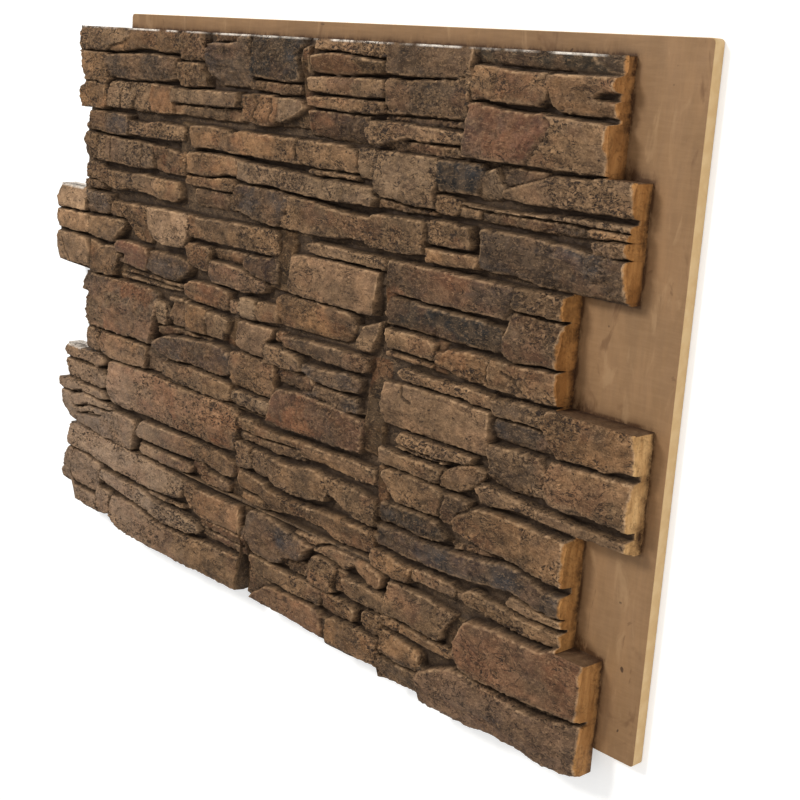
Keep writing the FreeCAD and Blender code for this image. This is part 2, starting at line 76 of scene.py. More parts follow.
# For each course: finish, height, lean | outline. An indented line goes on with the outline above it.
STONES = """
C1
pale 37 0 | -119,887 -60,888 0,887 45,887 50,876 30,866 -10,858 -30,849 -70,848 -112,848 -117,856 -111,866
    -113,874
tan 35 0 | 45,887 120,886 190,886 193,870 192,852 150,852 113,855 80,857 50,853 20,849 -10,849 -28,850
    -8,860 30,868
brown 30 0 | 95,887 190,887 192,877 140,877 100,877
tan 36 2 | 196,886 255,886 262,880 264,862 262,844 230,842 197,843 195,860
tan 34 0 | -115,845 -60,846 -28,845 -27,830 -30,812 -24,800 -32,790 -60,794 -98,795 -107,812 -113,832
tan 35 0 | -98,794 -60,793 -32,790 -28,778 -27,755 -34,748 -70,747 -113,747 -115,765 -114,782
grey 38 0 | -26,842 13,845 63,848 113,849 163,848 190,845 192,828 188,812 175,807 147,805 97,803 60,802
    13,803 -20,805 -26,815
pale 30 -9 | -22,797 0,798 58,800 60,790 56,777 50,760 48,754 20,752 -20,752 -25,765
pale 31 -9 | 66,800 112,800 109,788 113,770 111,753 90,751 60,752 58,760 63,778
tan 36 0 | 117,800 180,799 183,778 181,755 150,751 116,752 115,768 113,782
pale 40 -4 | 183,797 240,797 290,799 362,800 366,790 362,777 330,775 270,774 183,773
tan 29 4 | 183,771 270,772 368,774 372,764 368,754 300,753 183,754
tan 37 0 | 198,840 240,841 258,838 263,830 275,818 277,803 240,801 205,801 198,812
brown 27 0 | 286,886 330,886 363,886 360,877 330,876 290,876
strata 38 0 | 264,852 272,862 290,873 330,874 366,877 388,886 396,884 393,860 396,835 392,812 360,808
    320,807 292,806 290,818 277,822 268,838
blue 37 0 | 396,887 440,888 515,886 519,876 508,866 514,845 519,830 514,824 470,823 430,824 396,826 394,850
brown 33 0 | 393,822 430,821 470,820 514,821 514,806 480,803 440,805 395,807
tan 37 0 | 375,799 400,801 440,801 457,798 462,784 464,768 460,758 440,753 420,752 404,757 386,757 381,768
    377,785
pale 36 -6 | 466,799 500,801 522,797 530,788 515,778 495,768 478,762 466,764 468,780
ochre 24 0 | 468,762 495,767 515,777 531,786 535,770 534,757 500,757 470,756
ochre 31 0 | 522,872 532,878 533,850 532,820 533,800 526,800 518,812 521,832 516,848
pale 33 0 | 548,885 600,886 660,887 702,886 702,867 667,868 637,870 603,874 570,873 550,873
ochre 38 3 | 543,866 570,870 603,871 637,867 667,865 700,863 702,850 695,845 673,843 640,841 603,839 563,839
    543,842 540,854
tan 38 0 | 538,832 545,834 563,836 603,837 650,838 700,838 703,825 703,813 650,811 603,811 538,813
tan 37 0 | 538,806 560,807 620,808 703,808 704,792 660,789 620,789 560,790 541,793
rust 27 3 | 536,786 560,787 620,786 670,786 671,772 674,758 683,748 640,746 590,747 540,748 537,765
brown 36 0 | 705,885 780,886 868,886 872,876 868,866 870,853 840,847 800,846 760,845 705,846
tan 35 0 | 706,841 760,841 800,844 840,846 868,852 868,835 872,820 866,808 868,796 830,794 760,793 706,792
brown 26 0 | 706,789 760,790 868,792 868,783 800,781 760,780 706,783
pale 38 0 | 673,775 683,781 720,783 760,782 800,781 850,779 868,777 867,768 850,762 800,760 760,762 730,755
    700,748 686,748 677,757
brown 26 0 | 712,753 735,757 770,759 800,757 845,757 856,750 850,743 800,742 740,742 700,745
shade 24 0 | 873,884 900,885 1000,886 1050,885 1070,880 1090,870 1112,864 1080,864 1000,867 940,869 900,869
    873,870
tan 37 0 | 873,867 900,867 930,864 960,862 998,863 1001,845 1003,832 990,821 940,821 900,824 880,822 873,835
tan 37 2 | 1004,862 1060,864 1111,863 1111,846 1080,843 1070,838 1080,834 1111,834 1111,816 1060,814
    1022,816 1010,826 1003,845
pink 38 0 | 873,818 886,820 900,817 960,813 1000,813 1016,801 1004,780 990,768 976,746 920,746 864,747
    868,770 869,795
tan 39 0 | 1003,813 1040,811 1080,809 1111,806 1111,747 1060,745 979,746 992,768 1006,780 1019,801
C2
grey 35 0 | -78,741 -62,744 0,744 48,742 48,722 44,707 10,705 -40,707 -72,708 -86,707 -89,716 -84,730
pale 36 0 | 50,735 60,733 95,732 112,735 140,738 180,737 218,736 222,722 218,711 160,709 100,709 54,711
pale 36 0 | -52,703 0,701 50,701 100,700 113,698 120,682 126,668 128,658 100,655 50,654 0,657 -47,656
    -50,680
tan 35 0 | -90,704 -56,703 -52,680 -50,657 -88,657 -93,670 -94,690
red 28 4 | 117,697 150,698 185,693 200,690 198,670 196,654 150,653 131,657 129,670 123,684
tan 33 0 | 203,690 222,694 228,690 218,675 217,660 212,654 199,654 200,672
tan 35 0 | -40,645 0,643 50,641 62,644 100,646 150,643 195,643 205,632 208,617 190,608 150,607 120,611
    90,614 60,613 50,618 30,611 0,608 -20,614 -42,619
tan 33 0 | -88,650 -60,652 -44,648 -47,632 -46,621 -65,622 -86,623
brown 31 0 | -97,618 -60,620 -45,618 -32,610 -33,603 -60,603 -97,603
tan 37 0 | 240,741 290,742 335,741 345,734 358,737 375,742 440,742 514,742 516,722 515,703 450,703 400,704
    380,704 340,705 310,707 290,706 242,704 239,722
tan 36 2 | 519,741 560,742 625,742 636,738 652,737 655,725 651,712 655,704 600,702 520,703
pale 35 0 | 658,738 665,742 688,742 692,735 692,712 690,697 662,698 657,706 660,720
tan 38 0 | 240,697 300,699 340,700 378,698 377,688 371,681 372,673 360,669 330,669 318,666 300,662 270,661
    225,662 222,680 232,690
tan 33 0 | 223,658 270,658 308,660 330,664 352,664 358,655 352,643 300,641 240,641 222,644
brown 24 0 | 242,638 300,638 348,639 350,625 351,612 300,610 245,610 240,625
pale 39 -3 | 377,696 400,695 437,694 500,692 543,690 570,687 603,689 640,688 687,687 689,680 697,672 690,659
    670,661 647,660 603,658 537,659 470,664 403,664 376,666 380,680
pale 33 0 | 545,698 600,700 650,700 651,692 603,692 570,691 548,693
grey 36 0 | 354,643 367,658 397,659 440,659 478,658 500,652 497,630 480,610 470,603 440,604 420,606 403,611
    383,616 357,616 353,628
tan 37 0 | 480,657 537,654 560,653 603,649 653,645 690,646 700,652 740,653 800,654 806,640 800,625 803,608
    770,603 740,601 687,602 680,608 647,609 620,604 580,602 520,603 482,603 485,612 500,630 502,650
pale 38 0 | 695,741 750,742 812,741 818,735 815,718 818,705 815,690 818,672 790,670 760,671 740,675 710,676
    700,681 696,695 693,715
brown 26 0 | 700,673 740,671 760,667 816,668 816,661 760,660 700,660
night 33 0 | 821,739 860,741 895,741 901,735 903,724 898,712 893,699 860,698 821,697 817,710 819,730
pale 34 8 | 902,722 915,733 926,738 934,728 943,714 938,704 930,698 897,694 894,702
brown 29 0 | 925,741 1010,741 1004,732 950,716 942,722 932,732
pale 37 -3 | 944,712 1002,731 1024,738 1080,740 1154,740 1154,701 1140,700 1060,699 1000,698 944,699 941,705
tan 34 0 | 822,693 850,692 864,688 864,674 851,666 822,667
pale 34 0 | 867,687 900,686 960,685 1060,691 1130,692 1154,690 1154,683 1100,682 1060,684 1000,683 940,681
    900,682 867,684
tan 32 0 | 867,682 900,680 902,668 866,667
dark 26 0 | 905,680 960,680 1060,682 1083,677 1098,668 1000,665 905,666
tan 36 0 | 1094,681 1154,682 1154,673 1130,672 1100,669 1090,677
brown 39 0 | 1100,665 1130,670 1154,671 1154,653 1120,649 1102,651
tan 35 2 | 814,657 830,659 860,657 886,656 891,645 893,633 886,626 850,624 814,623 811,640
tan 35 0 | 808,618 850,618 900,619 906,610 902,601 850,598 810,598
grey 37 0 | 908,658 940,658 1000,659 1030,655 1060,656 1095,651 1154,648 1154,598 1080,597 1010,596 970,603
    940,602 910,605 911,620 916,635
C3
smooth 36 0 | -180,600 -140,601 -92,601 -91,585 -94,560 -140,558 -183,557 -189,575
strata 36 0 | -88,600 -40,599 -10,598 -8,590 -14,572 -25,562 -60,559 -91,559 -88,580
brown 31 0 | -6,590 20,590 34,580 30,564 0,561 -10,565
smooth 36 0 | -185,554 -140,555 -84,555 -81,538 -84,521 -140,517 -182,519 -191,535
tan 37 0 | -79,554 -30,557 20,558 36,556 34,544 20,531 8,522 2,515 -30,514 -80,519 -78,538
smooth 38 0 | -186,512 -140,514 -82,511 -76,495 -73,475 -77,459 -140,457 -180,458 -189,480 -189,500
tan 36 0 | -73,510 -40,503 0,508 14,500 20,490 16,470 6,456 -20,451 -60,451 -72,458 -70,476 -73,495
tan 37 0 | 32,590 60,592 110,592 112,575 113,550 117,536 112,526 80,527 69,532 58,550 45,568 34,580
smooth 37 2 | 117,592 160,594 234,595 236,580 235,556 231,548 226,536 200,533 170,531 142,537 128,550
    119,570
pink 36 0 | 8,507 22,521 50,524 80,522 112,520 115,505 112,492 105,484 98,476 80,476 60,480 25,481 22,488
    40,492 38,498 14,498
grey 35 0 | 119,516 150,519 190,519 225,515 238,508 242,500 232,488 212,480 200,474 160,475 130,478 112,483
    117,492 118,505
pale 28 0 | 40,472 100,470 150,471 215,471 222,466 215,464 150,465 100,466 42,467
pale 29 0 | 30,463 100,462 160,462 222,462 230,458 160,456 100,455 30,457
tan 36 0 | 239,594 270,593 320,594 360,596 400,597 440,597 471,597 478,590 480,575 478,562 468,557 440,556
    390,556 340,555 300,556 240,556
tan 35 0 | 229,546 255,548 298,546 301,538 298,528 296,514 299,506 280,504 252,508 240,514 233,530
brown 25 0 | 303,545 350,548 388,549 391,536 380,528 345,527 303,530
rust 34 0 | 391,540 404,549 440,551 470,552 480,548 483,530 482,512 465,511 440,514 412,520 396,526
pinktan 36 0 | 300,525 340,526 390,524 404,517 440,512 455,505 446,495 420,489 390,487 340,489 312,489
    303,500
red 36 0 | 236,476 250,484 300,486 340,484 355,480 358,468 354,458 357,450 340,447 300,449 270,449 240,452
    231,460
pinktan 34 0 | 362,470 385,470 386,457 385,448 366,448 360,456
pale 37 0 | 389,480 410,481 428,479 430,465 427,448 415,445 391,445 386,455 388,470
tan 35 0 | 433,479 470,480 484,481 485,466 484,452 470,450 436,447 432,456
ochre 21 0 | 486,600 504,600 512,585 512,560 508,540 510,515 500,503 487,505 485,520 486,550 483,575
pale 37 0 | 550,585 556,590 580,593 640,592 700,591 722,592 728,583 722,573 690,574 640,575 590,573 560,575
dark 17 0 | 514,598 545,600 545,575 520,572 514,580
smooth2 37 0 | 516,566 540,568 570,570 600,571 640,570 712,569 711,540 709,520 708,505 680,503 640,505
    600,506 560,505 520,508 516,520 517,540
tan 36 0 | 490,498 500,502 560,503 620,502 650,500 668,494 671,480 664,470 655,460 640,452 600,450 560,451
    500,451 487,453 485,466 487,482
pale 32 6 | 684,484 700,490 726,499 719,485 712,470 707,455 700,448 672,448 670,455 678,470
russet 37 -3 | 736,591 760,592 860,592 940,591 974,590 976,580 971,565 967,553 958,544 900,543 820,542
    738,544 733,565
blue 31 0 | 738,539 800,538 880,537 958,533 960,520 960,500 940,496 860,497 738,498 734,515
speck 39 0 | 980,590 1010,591 1064,591 1064,560 1030,559 1000,560 978,561
speck 39 0 | 977,557 1000,556 1030,555 1064,556 1064,497 1030,496 1015,495 1000,491 985,491 970,495 963,503
    966,520 973,535 971,548
tan 36 0 | 738,493 790,493 825,493 837,488 836,478 835,464 800,463 760,464 738,463
tan 30 0 | 738,459 790,458 832,457 832,451 790,450 738,451
tan 36 2 | 848,478 870,487 900,490 938,490 943,480 941,465 935,450 910,448 880,449 868,455 846,457 842,468
tan 37 0 | 946,490 985,488 1000,489 1020,491 1064,494 1064,449 1040,448 1000,448 960,449 938,450 945,465
    945,480
C4
red 37 0 | -80,448 -60,446 -8,448 57,450 113,450 130,447 143,442 145,430 146,415 145,399 140,385 133,370
    131,355 125,352 60,353 50,350 0,350 -50,349 -79,351 -83,365 -79,390 -70,413 -92,415 -95,428 -91,440
tan 36 0 | -82,345 -70,347 -46,346 -47,338 -41,325 -43,310 -48,303 -75,303 -88,306 -84,320 -83,335
tan 35 0 | -33,345 0,345 60,344 100,345 112,344 115,335 112,320 108,303 60,300 10,299 -10,303 -30,308
    -36,325
brown 25 -6 | 117,344 150,338 172,333 172,306 140,303 112,303 116,320
pale 34 3 | 149,432 160,433 172,430 178,420 178,402 170,393 152,392 148,405
pale 31 0 | 180,446 205,446 222,448 224,442 200,438 184,437 180,440
brown 33 0 | 193,440 215,444 233,446 235,430 234,402 215,398 198,398 190,410
grey 37 0 | 138,350 145,361 160,369 180,376 215,381 260,385 300,388 340,386 364,380 366,360 362,345 340,337
    300,337 250,339 200,336 180,338 145,342
tan 36 0 | 174,330 200,332 250,334 300,333 345,330 366,326 366,300 340,296 300,297 250,300 200,303 175,305
brown 28 -8 | 148,388 175,392 230,393 300,393 300,389 215,384 180,379 155,371 146,375
tan 36 2 | 238,443 265,444 292,442 291,420 293,399 265,397 238,397 236,415
pale 36 0 | 298,438 310,440 343,439 359,434 349,413 339,398 300,398 296,417
smooth2 37 0 | 385,438 400,441 471,441 468,425 458,420 456,400 454,390 430,391 400,394 388,398 384,415
pale 38 0 | 459,417 500,416 537,411 548,404 552,392 540,387 503,385 477,386 459,384
brown 24 0 | 475,440 498,440 497,421 476,421
greytan 35 0 | 501,436 510,439 560,440 620,442 670,441 700,440 700,425 694,416 660,413 620,412 580,414
    560,416 502,418
grey 35 0 | 553,402 570,403 600,403 650,408 688,405 688,390 680,382 640,379 600,380 570,384 556,391
tan 37 0 | 372,387 385,389 420,387 450,386 478,385 481,370 480,350 478,329 440,327 400,328 380,330 369,340
    367,360 369,375
brown 25 0 | 484,382 520,382 560,383 576,375 577,364 545,357 510,358 484,359
strata 31 0 | 581,375 640,374 680,374 682,362 688,352 660,349 620,349 590,353 546,352 548,356 578,362
pale 36 0 | 378,322 400,325 440,324 474,323 471,310 468,299 440,297 400,299 378,300 376,310
russet 37 0 | 492,347 510,352 545,355 600,353 640,349 690,345 700,342 698,320 697,302 690,293 640,291
    600,292 550,290 500,290 471,292 475,305 481,320 485,336
pale 35 0 | 771,437 776,441 800,440 860,439 900,441 950,441 955,432 950,421 920,420 900,424 850,423 800,423
    778,424 771,430
smooth3 37 2 | 740,416 770,418 800,419 860,419 950,417 953,400 954,380 950,368 948,354 900,353 860,352
    800,352 742,352 736,380
tan 35 0 | 958,435 975,440 1000,441 1040,440 1046,430 1043,415 1000,414 960,414 955,424
strata 25 0 | 958,409 1000,410 1040,409 1050,395 1052,382 1000,380 960,382 956,395
tan 38 2 | 1053,440 1100,441 1196,441 1196,392 1175,390 1140,383 1100,382 1065,381 1060,395 1052,410
    1047,420 1048,432
tan 37 0 | 1063,376 1100,377 1150,378 1196,383 1196,318 1160,319 1130,321 1100,318 1075,320 1062,326
    1058,345 1058,365
tan 36 0 | 956,375 980,376 1000,377 1045,376 1053,368 1056,355 1053,340 1048,334 1036,330 1030,320 1020,316
    980,317 962,320 952,330 953,350 951,365
pale 31 0 | 1038,336 1050,338 1060,334 1058,324 1040,322 1036,328
pale 36 4 | 786,349 820,350 860,349 926,348 921,336 900,332 880,330 860,328 820,328 780,329 773,334
pale 32 0 | 771,326 820,326 868,326 872,322 820,321 772,321
tan 36 0 | 738,317 770,318 800,316 850,318 870,316 865,302 860,291 820,291 780,292 738,292
tan 34 4 | 869,300 880,317 900,329 925,335 946,331 944,320 935,310 920,300 905,292 880,288 868,290
pale 37 0 | 938,308 955,316 1000,313 1040,309 1100,306 1160,304 1196,304 1196,290 1150,289 1100,288 1060,291
    1020,293 980,290 950,287 946,295
C5
tan 35 0 | -156,293 -150,299 -100,300 -60,300 -25,299 -22,288 -30,279 -45,275 -90,276 -150,277 -158,284
tan 36 0 | -150,272 -100,272 -50,273 -22,270 -14,262 -13,250 -20,240 -40,234 -90,235 -140,238 -151,241
    -148,255
pale 37 0 | -178,231 -130,236 -90,232 -40,230 -25,227 -15,219 -42,214 -60,217 -95,218 -110,214 -133,209
    -170,210 -179,216
light 38 0 | -131,206 -110,211 -95,215 -60,214 -40,211 -8,212 12,205 0,201 -30,200 -70,197 -95,190 -122,184
    -132,192
light 36 0 | -170,207 -136,205 -137,190 -126,180 -95,186 -75,193 -60,195 -45,186 -80,182 -98,175 -120,172
    -125,153 -150,157 -163,176 -170,192
grey 36 0 | -92,173 -78,179 -45,183 -57,195 -30,197 0,198 12,203 10,170 8,144 -30,146 -60,149 -118,153
    -115,168
tan 37 0 | 14,204 60,205 80,203 90,197 92,188 86,176 80,160 74,144 40,142 12,144
blush 38 0 | 0,292 5,296 50,297 100,298 150,298 200,295 240,293 300,293 350,294 380,293 389,285 390,270
    393,258 394,245 390,228 378,218 340,214 300,215 200,216 110,217 40,214 10,216 0,222 -4,235 -2,260 -3,280
tan 36 0 | 105,201 112,208 200,208 300,208 340,206 380,202 391,195 390,185 380,173 350,170 335,174 310,179
    280,177 250,176 200,173 150,174 110,174 97,177 96,183 100,192
tan 35 0 | 104,166 130,165 200,164 250,165 262,160 260,150 250,146 200,144 150,145 111,145 107,152
brown 25 0 | 266,172 290,176 296,165 292,150 280,146 266,148
brown 33 0 | 300,165 340,163 378,160 376,148 370,144 340,143 300,143 296,152
tan 35 0 | 398,280 410,284 435,284 446,277 490,277 540,277 560,279 620,279 680,280 731,278 729,262 725,251
    690,248 660,251 620,253 590,253 560,252 545,263 530,263 500,263 470,261 440,259 401,262 397,270
brown 29 0 | 405,258 440,256 470,257 540,260 553,251 560,247 530,244 500,242 470,243 440,244 408,245
pale 37 2 | 395,243 410,241 430,238 432,225 438,212 435,203 420,198 400,197 396,210 394,225
pale 36 3 | 438,236 455,237 472,235 474,222 479,208 480,200 462,196 448,197 443,210 436,225
tan 37 2 | 479,228 486,235 500,237 520,233 545,236 570,241 600,243 617,240 621,225 625,207 620,198 600,195
    580,190 540,187 500,190 486,195 484,208
tan 36 2 | 622,240 650,240 690,237 720,235 733,232 735,210 731,189 700,190 680,197 660,207 645,210 627,216
    624,230
tan 36 0 | 406,194 440,190 466,186 474,178 500,178 540,176 580,178 620,183 660,183 690,182 735,181 735,147
    700,142 650,140 640,143 620,151 600,153 560,154 520,149 500,145 488,143 470,152 460,159 440,160 411,162
    402,170
tan 31 0 | 406,156 440,155 458,153 468,147 478,142 440,139 411,142
tan 37 0 | 752,284 762,288 800,288 850,288 868,285 874,272 870,258 866,245 840,242 800,241 780,241 770,246
    760,260 752,270
brown 33 4 | 878,284 900,285 924,283 922,271 904,263 896,247 885,236 873,240 870,247 875,260 879,272
tan 37 0 | 926,268 940,276 952,281 1000,282 1050,280 1106,280 1106,216 1090,214 1060,215 1030,220 1000,224
    960,226 930,231 905,239 900,249 912,262
blue 35 0 | 749,236 800,237 840,238 860,237 871,230 885,218 880,211 850,205 800,204 749,205
grey 36 0 | 747,200 800,200 860,201 900,203 960,209 1000,215 1020,213 1050,207 1075,202 1106,204 1106,174
    1080,171 1060,173 1040,179 1020,181 1000,179 960,175 900,168 860,166 800,165 747,167
brown 25 0 | 890,213 940,219 985,218 960,212 900,206
pale 34 0 | 1008,161 1016,174 1030,174 1050,170 1080,168 1106,169 1106,158 1080,156 1040,155 1013,157
tan 35 0 | 735,158 760,157 800,155 818,152 819,140 815,128 790,125 760,127 738,131 733,145
tan 34 0 | 823,153 850,156 900,156 913,152 915,142 905,136 860,136 824,136
tan 34 0 | 920,150 945,160 970,157 1005,152 1040,151 1080,151 1106,150 1106,128 1080,128 1040,125 1000,125
    960,129 930,134 919,141
C6
light 37 0 | -142,142 -130,149 -90,149 -60,145 -30,143 0,141 60,139 120,137 180,134 228,131 240,126 242,110
    239,98 210,91 160,89 110,88 60,91 0,96 -40,98 -60,100 -100,102 -135,104 -143,112 -144,125
tan 37 0 | -140,98 -100,98 -60,96 -30,91 -24,82 -30,72 -40,62 -38,52 -44,45 -45,30 -50,26 -100,26 -150,26
    -172,29 -173,45 -160,62 -152,80
brown 34 0 | -145,23 -100,23 -50,23 -47,10 -46,-6 -90,-8 -140,-4 -147,3
light 36 0 | -28,72 -20,83 20,82 60,79 100,80 135,74 165,70 200,69 240,68 285,62 296,54 288,45 260,39 220,36
    180,36 140,41 100,47 70,50 30,53 0,56 -20,59 -30,63
pale 32 0 | 126,80 150,84 175,82 215,80 245,82 240,76 200,75 150,76
tan 35 0 | -42,44 -10,43 1,42 3,30 -1,15 -4,-4 -20,-6 -42,-7 -43,20
tan 38 0 | 12,38 40,42 80,43 110,37 140,32 180,29 220,29 270,32 300,35 350,38 405,40 411,30 411,5 409,-18
    380,-20 300,-20 250,-22 200,-22 140,-22 120,-20 80,-22 40,-18 15,-8 8,0 9,20
tan 34 0 | 247,125 252,130 264,131 274,128 274,110 269,92 262,80 250,80 247,95 245,110
smooth2 37 0 | 278,127 300,128 350,128 405,130 411,125 411,105 416,92 414,82 380,82 340,80 300,80 284,84
    283,100 278,115
brown 31 0 | 300,78 340,78 380,80 416,80 425,74 428,63 400,62 350,62 320,63 302,63 296,70
brown 28 0 | 303,59 350,60 400,60 431,59 431,48 400,45 350,47 312,45 302,50
grey 37 0 | 422,90 431,105 433,125 441,132 470,134 500,131 540,124 575,121 598,118 590,111 580,104 577,94
    568,85 545,81 530,76 518,65 500,60 470,60 449,61 446,70 444,77 425,81
pale 34 0 | 545,127 580,133 612,136 632,134 612,127 600,121 575,124
brown 28 0 | 533,77 548,80 570,82 588,80 591,70 588,59 560,58 532,60 524,65
tan 37 0 | 592,61 593,80 600,94 605,104 620,109 640,108 654,104 656,92 650,80 648,68 654,59 640,56 610,57
tan 36 0 | 605,113 622,123 637,130 660,133 698,133 703,122 690,112 676,103 660,108 640,112 620,114
tan 36 0 | 705,131 720,130 750,126 760,118 761,105 754,99 740,100 720,106 707,113 704,122
brown 27 0 | 660,100 676,98 674,80 668,64 657,62 654,70 657,84
tan 38 0 | 680,92 690,96 720,96 760,95 771,90 774,78 771,66 760,61 720,61 690,62 683,68 680,80
tan 35 0 | 437,50 441,56 480,56 530,55 580,56 621,54 624,45 620,32 621,26 580,26 530,25 500,26 470,29 455,31
    446,37 438,43
tan 35 0 | 628,54 660,53 700,53 706,47 704,36 699,26 660,23 631,24
tan 35 0 | 726,54 750,56 762,54 763,42 762,28 750,24 732,25 723,38
brown 27 0 | 437,33 455,27 480,23 489,18 470,8 455,-5 442,-14 434,-14 432,10
rose 37 0 | 482,12 498,18 540,19 580,20 616,18 628,11 625,0 630,-12 629,-24 590,-22 540,-20 480,-19 446,-17
    455,-8 470,3
tan 36 0 | 640,10 652,18 680,19 720,19 757,19 758,0 757,-14 756,-26 720,-28 680,-29 640,-30 635,-15 638,0
tan 35 0 | 764,40 790,39 830,34 849,27 850,12 844,0 800,-1 764,1
tan 35 0 | 762,-5 800,-5 840,-3 847,-12 846,-35 800,-38 762,-37
tan 37 0 | 779,118 800,120 850,119 880,116 912,110 910,103 902,94 896,84 893,70 884,62 860,65 820,68 780,67
    775,76 776,100
tan 33 0 | 765,62 780,63 798,62 801,50 794,44 765,45
tan 35 0 | 806,62 850,60 885,57 900,60 919,57 921,48 905,43 870,43 840,45 809,47
rose 39 0 | 940,110 951,117 1000,120 1040,120 1080,120 1120,124 1154,133 1154,48 1100,42 1040,38 1000,37
    960,35 936,40 924,50 923,75 931,95
pinktan 38 0 | 853,2 870,12 890,22 912,31 940,33 980,28 1020,25 1060,23 1100,27 1120,31 1154,42 1154,-22
    1140,-38 1100,-42 1060,-38 1000,-35 960,-42 900,-44 856,-44 851,-20
dark 24 0 | 930,38 960,33 1000,35 1040,36 1100,40 1150,45 1120,34 1100,30 1060,26 1000,29 950,34
"""

# Mortar between stones of a course, flush and ochre: the same kinds of line as the stones.
JOINTS = """
C1
ochre 24 0 | 519,756 537,756 538,880 521,880
C2
ochre 24 0 | 205,602 247,600 246,742 204,742
C3
ochre 24 0 | 458,505 512,503 510,600 460,600
ochre 23 0 | 724,450 741,450 742,592 726,592
ochre 24 0 | -6,452 32,452 31,492 -5,492
ochre 24 0 | 834,448 852,448 852,492 836,492
C4
ochre 23 0 | 344,394 389,392 390,438 346,438
ochre 23 0 | 359,298 377,298 377,342 361,342
ochre 24 0 | 699,298 737,296 738,442 701,442
ochre 24 0 | 116,298 174,298 173,348 118,348
C5
ochre 23 0 | 377,142 405,142 404,202 379,202
ochre 23 0 | 734,142 753,142 754,287 736,287
C6
ochre 23 0 | 411,56 433,56 434,132 413,132
ochre 23 0 | 894,56 926,56 926,108 896,108
"""

# Finish: main and second colour (sRGB, 0 to 255), unevenness, bedding, pits (mm), speckle, and how much of
# the cold and of the warm clouds it takes.
FINISHES = {
    "pale": ((140, 112, 84), (112, 88, 66), 0.9, 0.4, 0.5, 1.2, 0.15, 0.2),
    "light": ((150, 124, 98), (128, 103, 79), 0.9, 0.3, 0.7, 1.3, 0.2, 0.4),
    "tan": ((142, 108, 76), (102, 78, 55), 1.0, 0.6, 0.7, 1.0, 0.2, 0.4),
    "brown": ((110, 84, 61), (82, 62, 45), 1.2, 0.7, 0.9, 0.9, 0.2, 0.4),
    "dark": ((66, 52, 40), (50, 41, 33), 1.3, 0.5, 0.9, 0.9, 0.4, 0.3),
    "strata": ((110, 87, 67), (76, 64, 54), 1.0, 1.6, 0.7, 0.6, 0.6, 0.3),
    "blue": ((37, 35, 33), (56, 46, 36), 1.0, 0.9, 0.6, 0.4, 0.7, 0.2),
    "shade": ((66, 54, 40), (50, 42, 32), 0.6, 0.5, 0.2, -0.3, 0.0, 0.2),
    "blush": ((150, 112, 84), (126, 98, 74), 1.0, 0.3, 0.8, 1.1, 0.2, 0.8),
    "russet": ((106, 74, 52), (86, 65, 48), 0.9, 0.4, 0.6, 0.3, 0.2, 0.8),
    "smooth": ((176, 140, 106), (156, 123, 92), 0.35, 0.0, 0.1, 0.5, 0.1, 0.1),
    "smooth2": ((142, 109, 80), (118, 91, 66), 0.6, 0.1, 0.3, 0.5, 0.1, 0.2),
    "smooth3": ((150, 116, 86), (126, 98, 72), 0.5, 0.2, 0.4, 0.4, 0.1, 0.2),
    "night": ((36, 33, 31), (31, 28, 26), 0.8, 0.6, 0.2, -0.2, 0.5, 0.0),
    "grey": ((70, 57, 47), (100, 76, 56), 1.1, 0.8, 0.8, 0.5, 0.6, 0.2),
    "greytan": ((106, 82, 62), (78, 62, 49), 1.1, 0.5, 0.8, 1.1, 0.6, 0.3),
    "ochre": ((68, 48, 27), (53, 39, 23), 0.5, 0.2, 0.1, -0.4, 0.0, 0.4),
    "red": ((132, 95, 68), (112, 88, 66), 1.1, 0.3, 0.8, 0.6, 0.3, 0.9),
    "rust": ((71, 48, 34), (54, 39, 30), 1.0, 0.3, 0.6, 0.3, 0.1, 0.6),
    "rose": ((130, 92, 65), (114, 84, 61), 0.6, 0.2, 0.3, 0.2, 0.15, 0.55),
    "pink": ((126, 84, 62), (108, 78, 58), 0.9, 0.4, 0.6, 0.2, 0.2, 0.6),
    "pinktan": ((124, 95, 73), (102, 78, 60), 0.9, 0.4, 0.6, 0.8, 0.2, 0.4),
    "speck": ((116, 92, 70), (80, 64, 50), 1.3, 0.4, 1.3, 1.0, 0.2, 0.4),
}

# Other colours of the relief: joints, sawn right ends by course, bare upper sides, cold and warm clouds,
# painted highlights on the stones' upper edges and sawn rims, near-white (a painted highlight along course
# 1's top edge, and the lapped ends' tops), and a paler tone towards the lower left.
GROOVE = (78, 63, 49)
SAWN = [(181, 129, 76), (181, 129, 74), (179, 127, 72), (220, 176, 120), (187, 136, 80), (180, 131, 78)]
BARE_SIDE = (120, 94, 70)
COLD = (52, 55, 60)
WARM = (121, 79, 53)
EDGE_HIGHLIGHT = (206, 170, 132)
WHITE_EDGE = (246, 238, 228)
LOWER_LEFT_PALE = (186, 160, 138)
# Paints of the stones' coats: brushed high points, pits, hair cracks, a dark wash that also paints the shade
# in the hollows and at the sides' foot, and a stain with painted shade at the foot of the sawn ends.
BRUSHED = (212, 170, 126)
PIT = (50, 38, 31)
HAIR_CRACK = (44, 33, 26)
WASH_AND_SHADE = (54, 41, 31)
STAIN_AND_SHADE = (72, 46, 27)
# Paints of the sheet: its two tones, a brown stain with painted shade along the stones' foot, and the two
# tones of its sawn edge.
SHEET_TONES = ((146, 112, 78), (130, 99, 67))
FOOT_STAIN_AND_SHADE = (76, 50, 28)
SHEET_EDGE = ((212, 180, 132), (205, 171, 122))

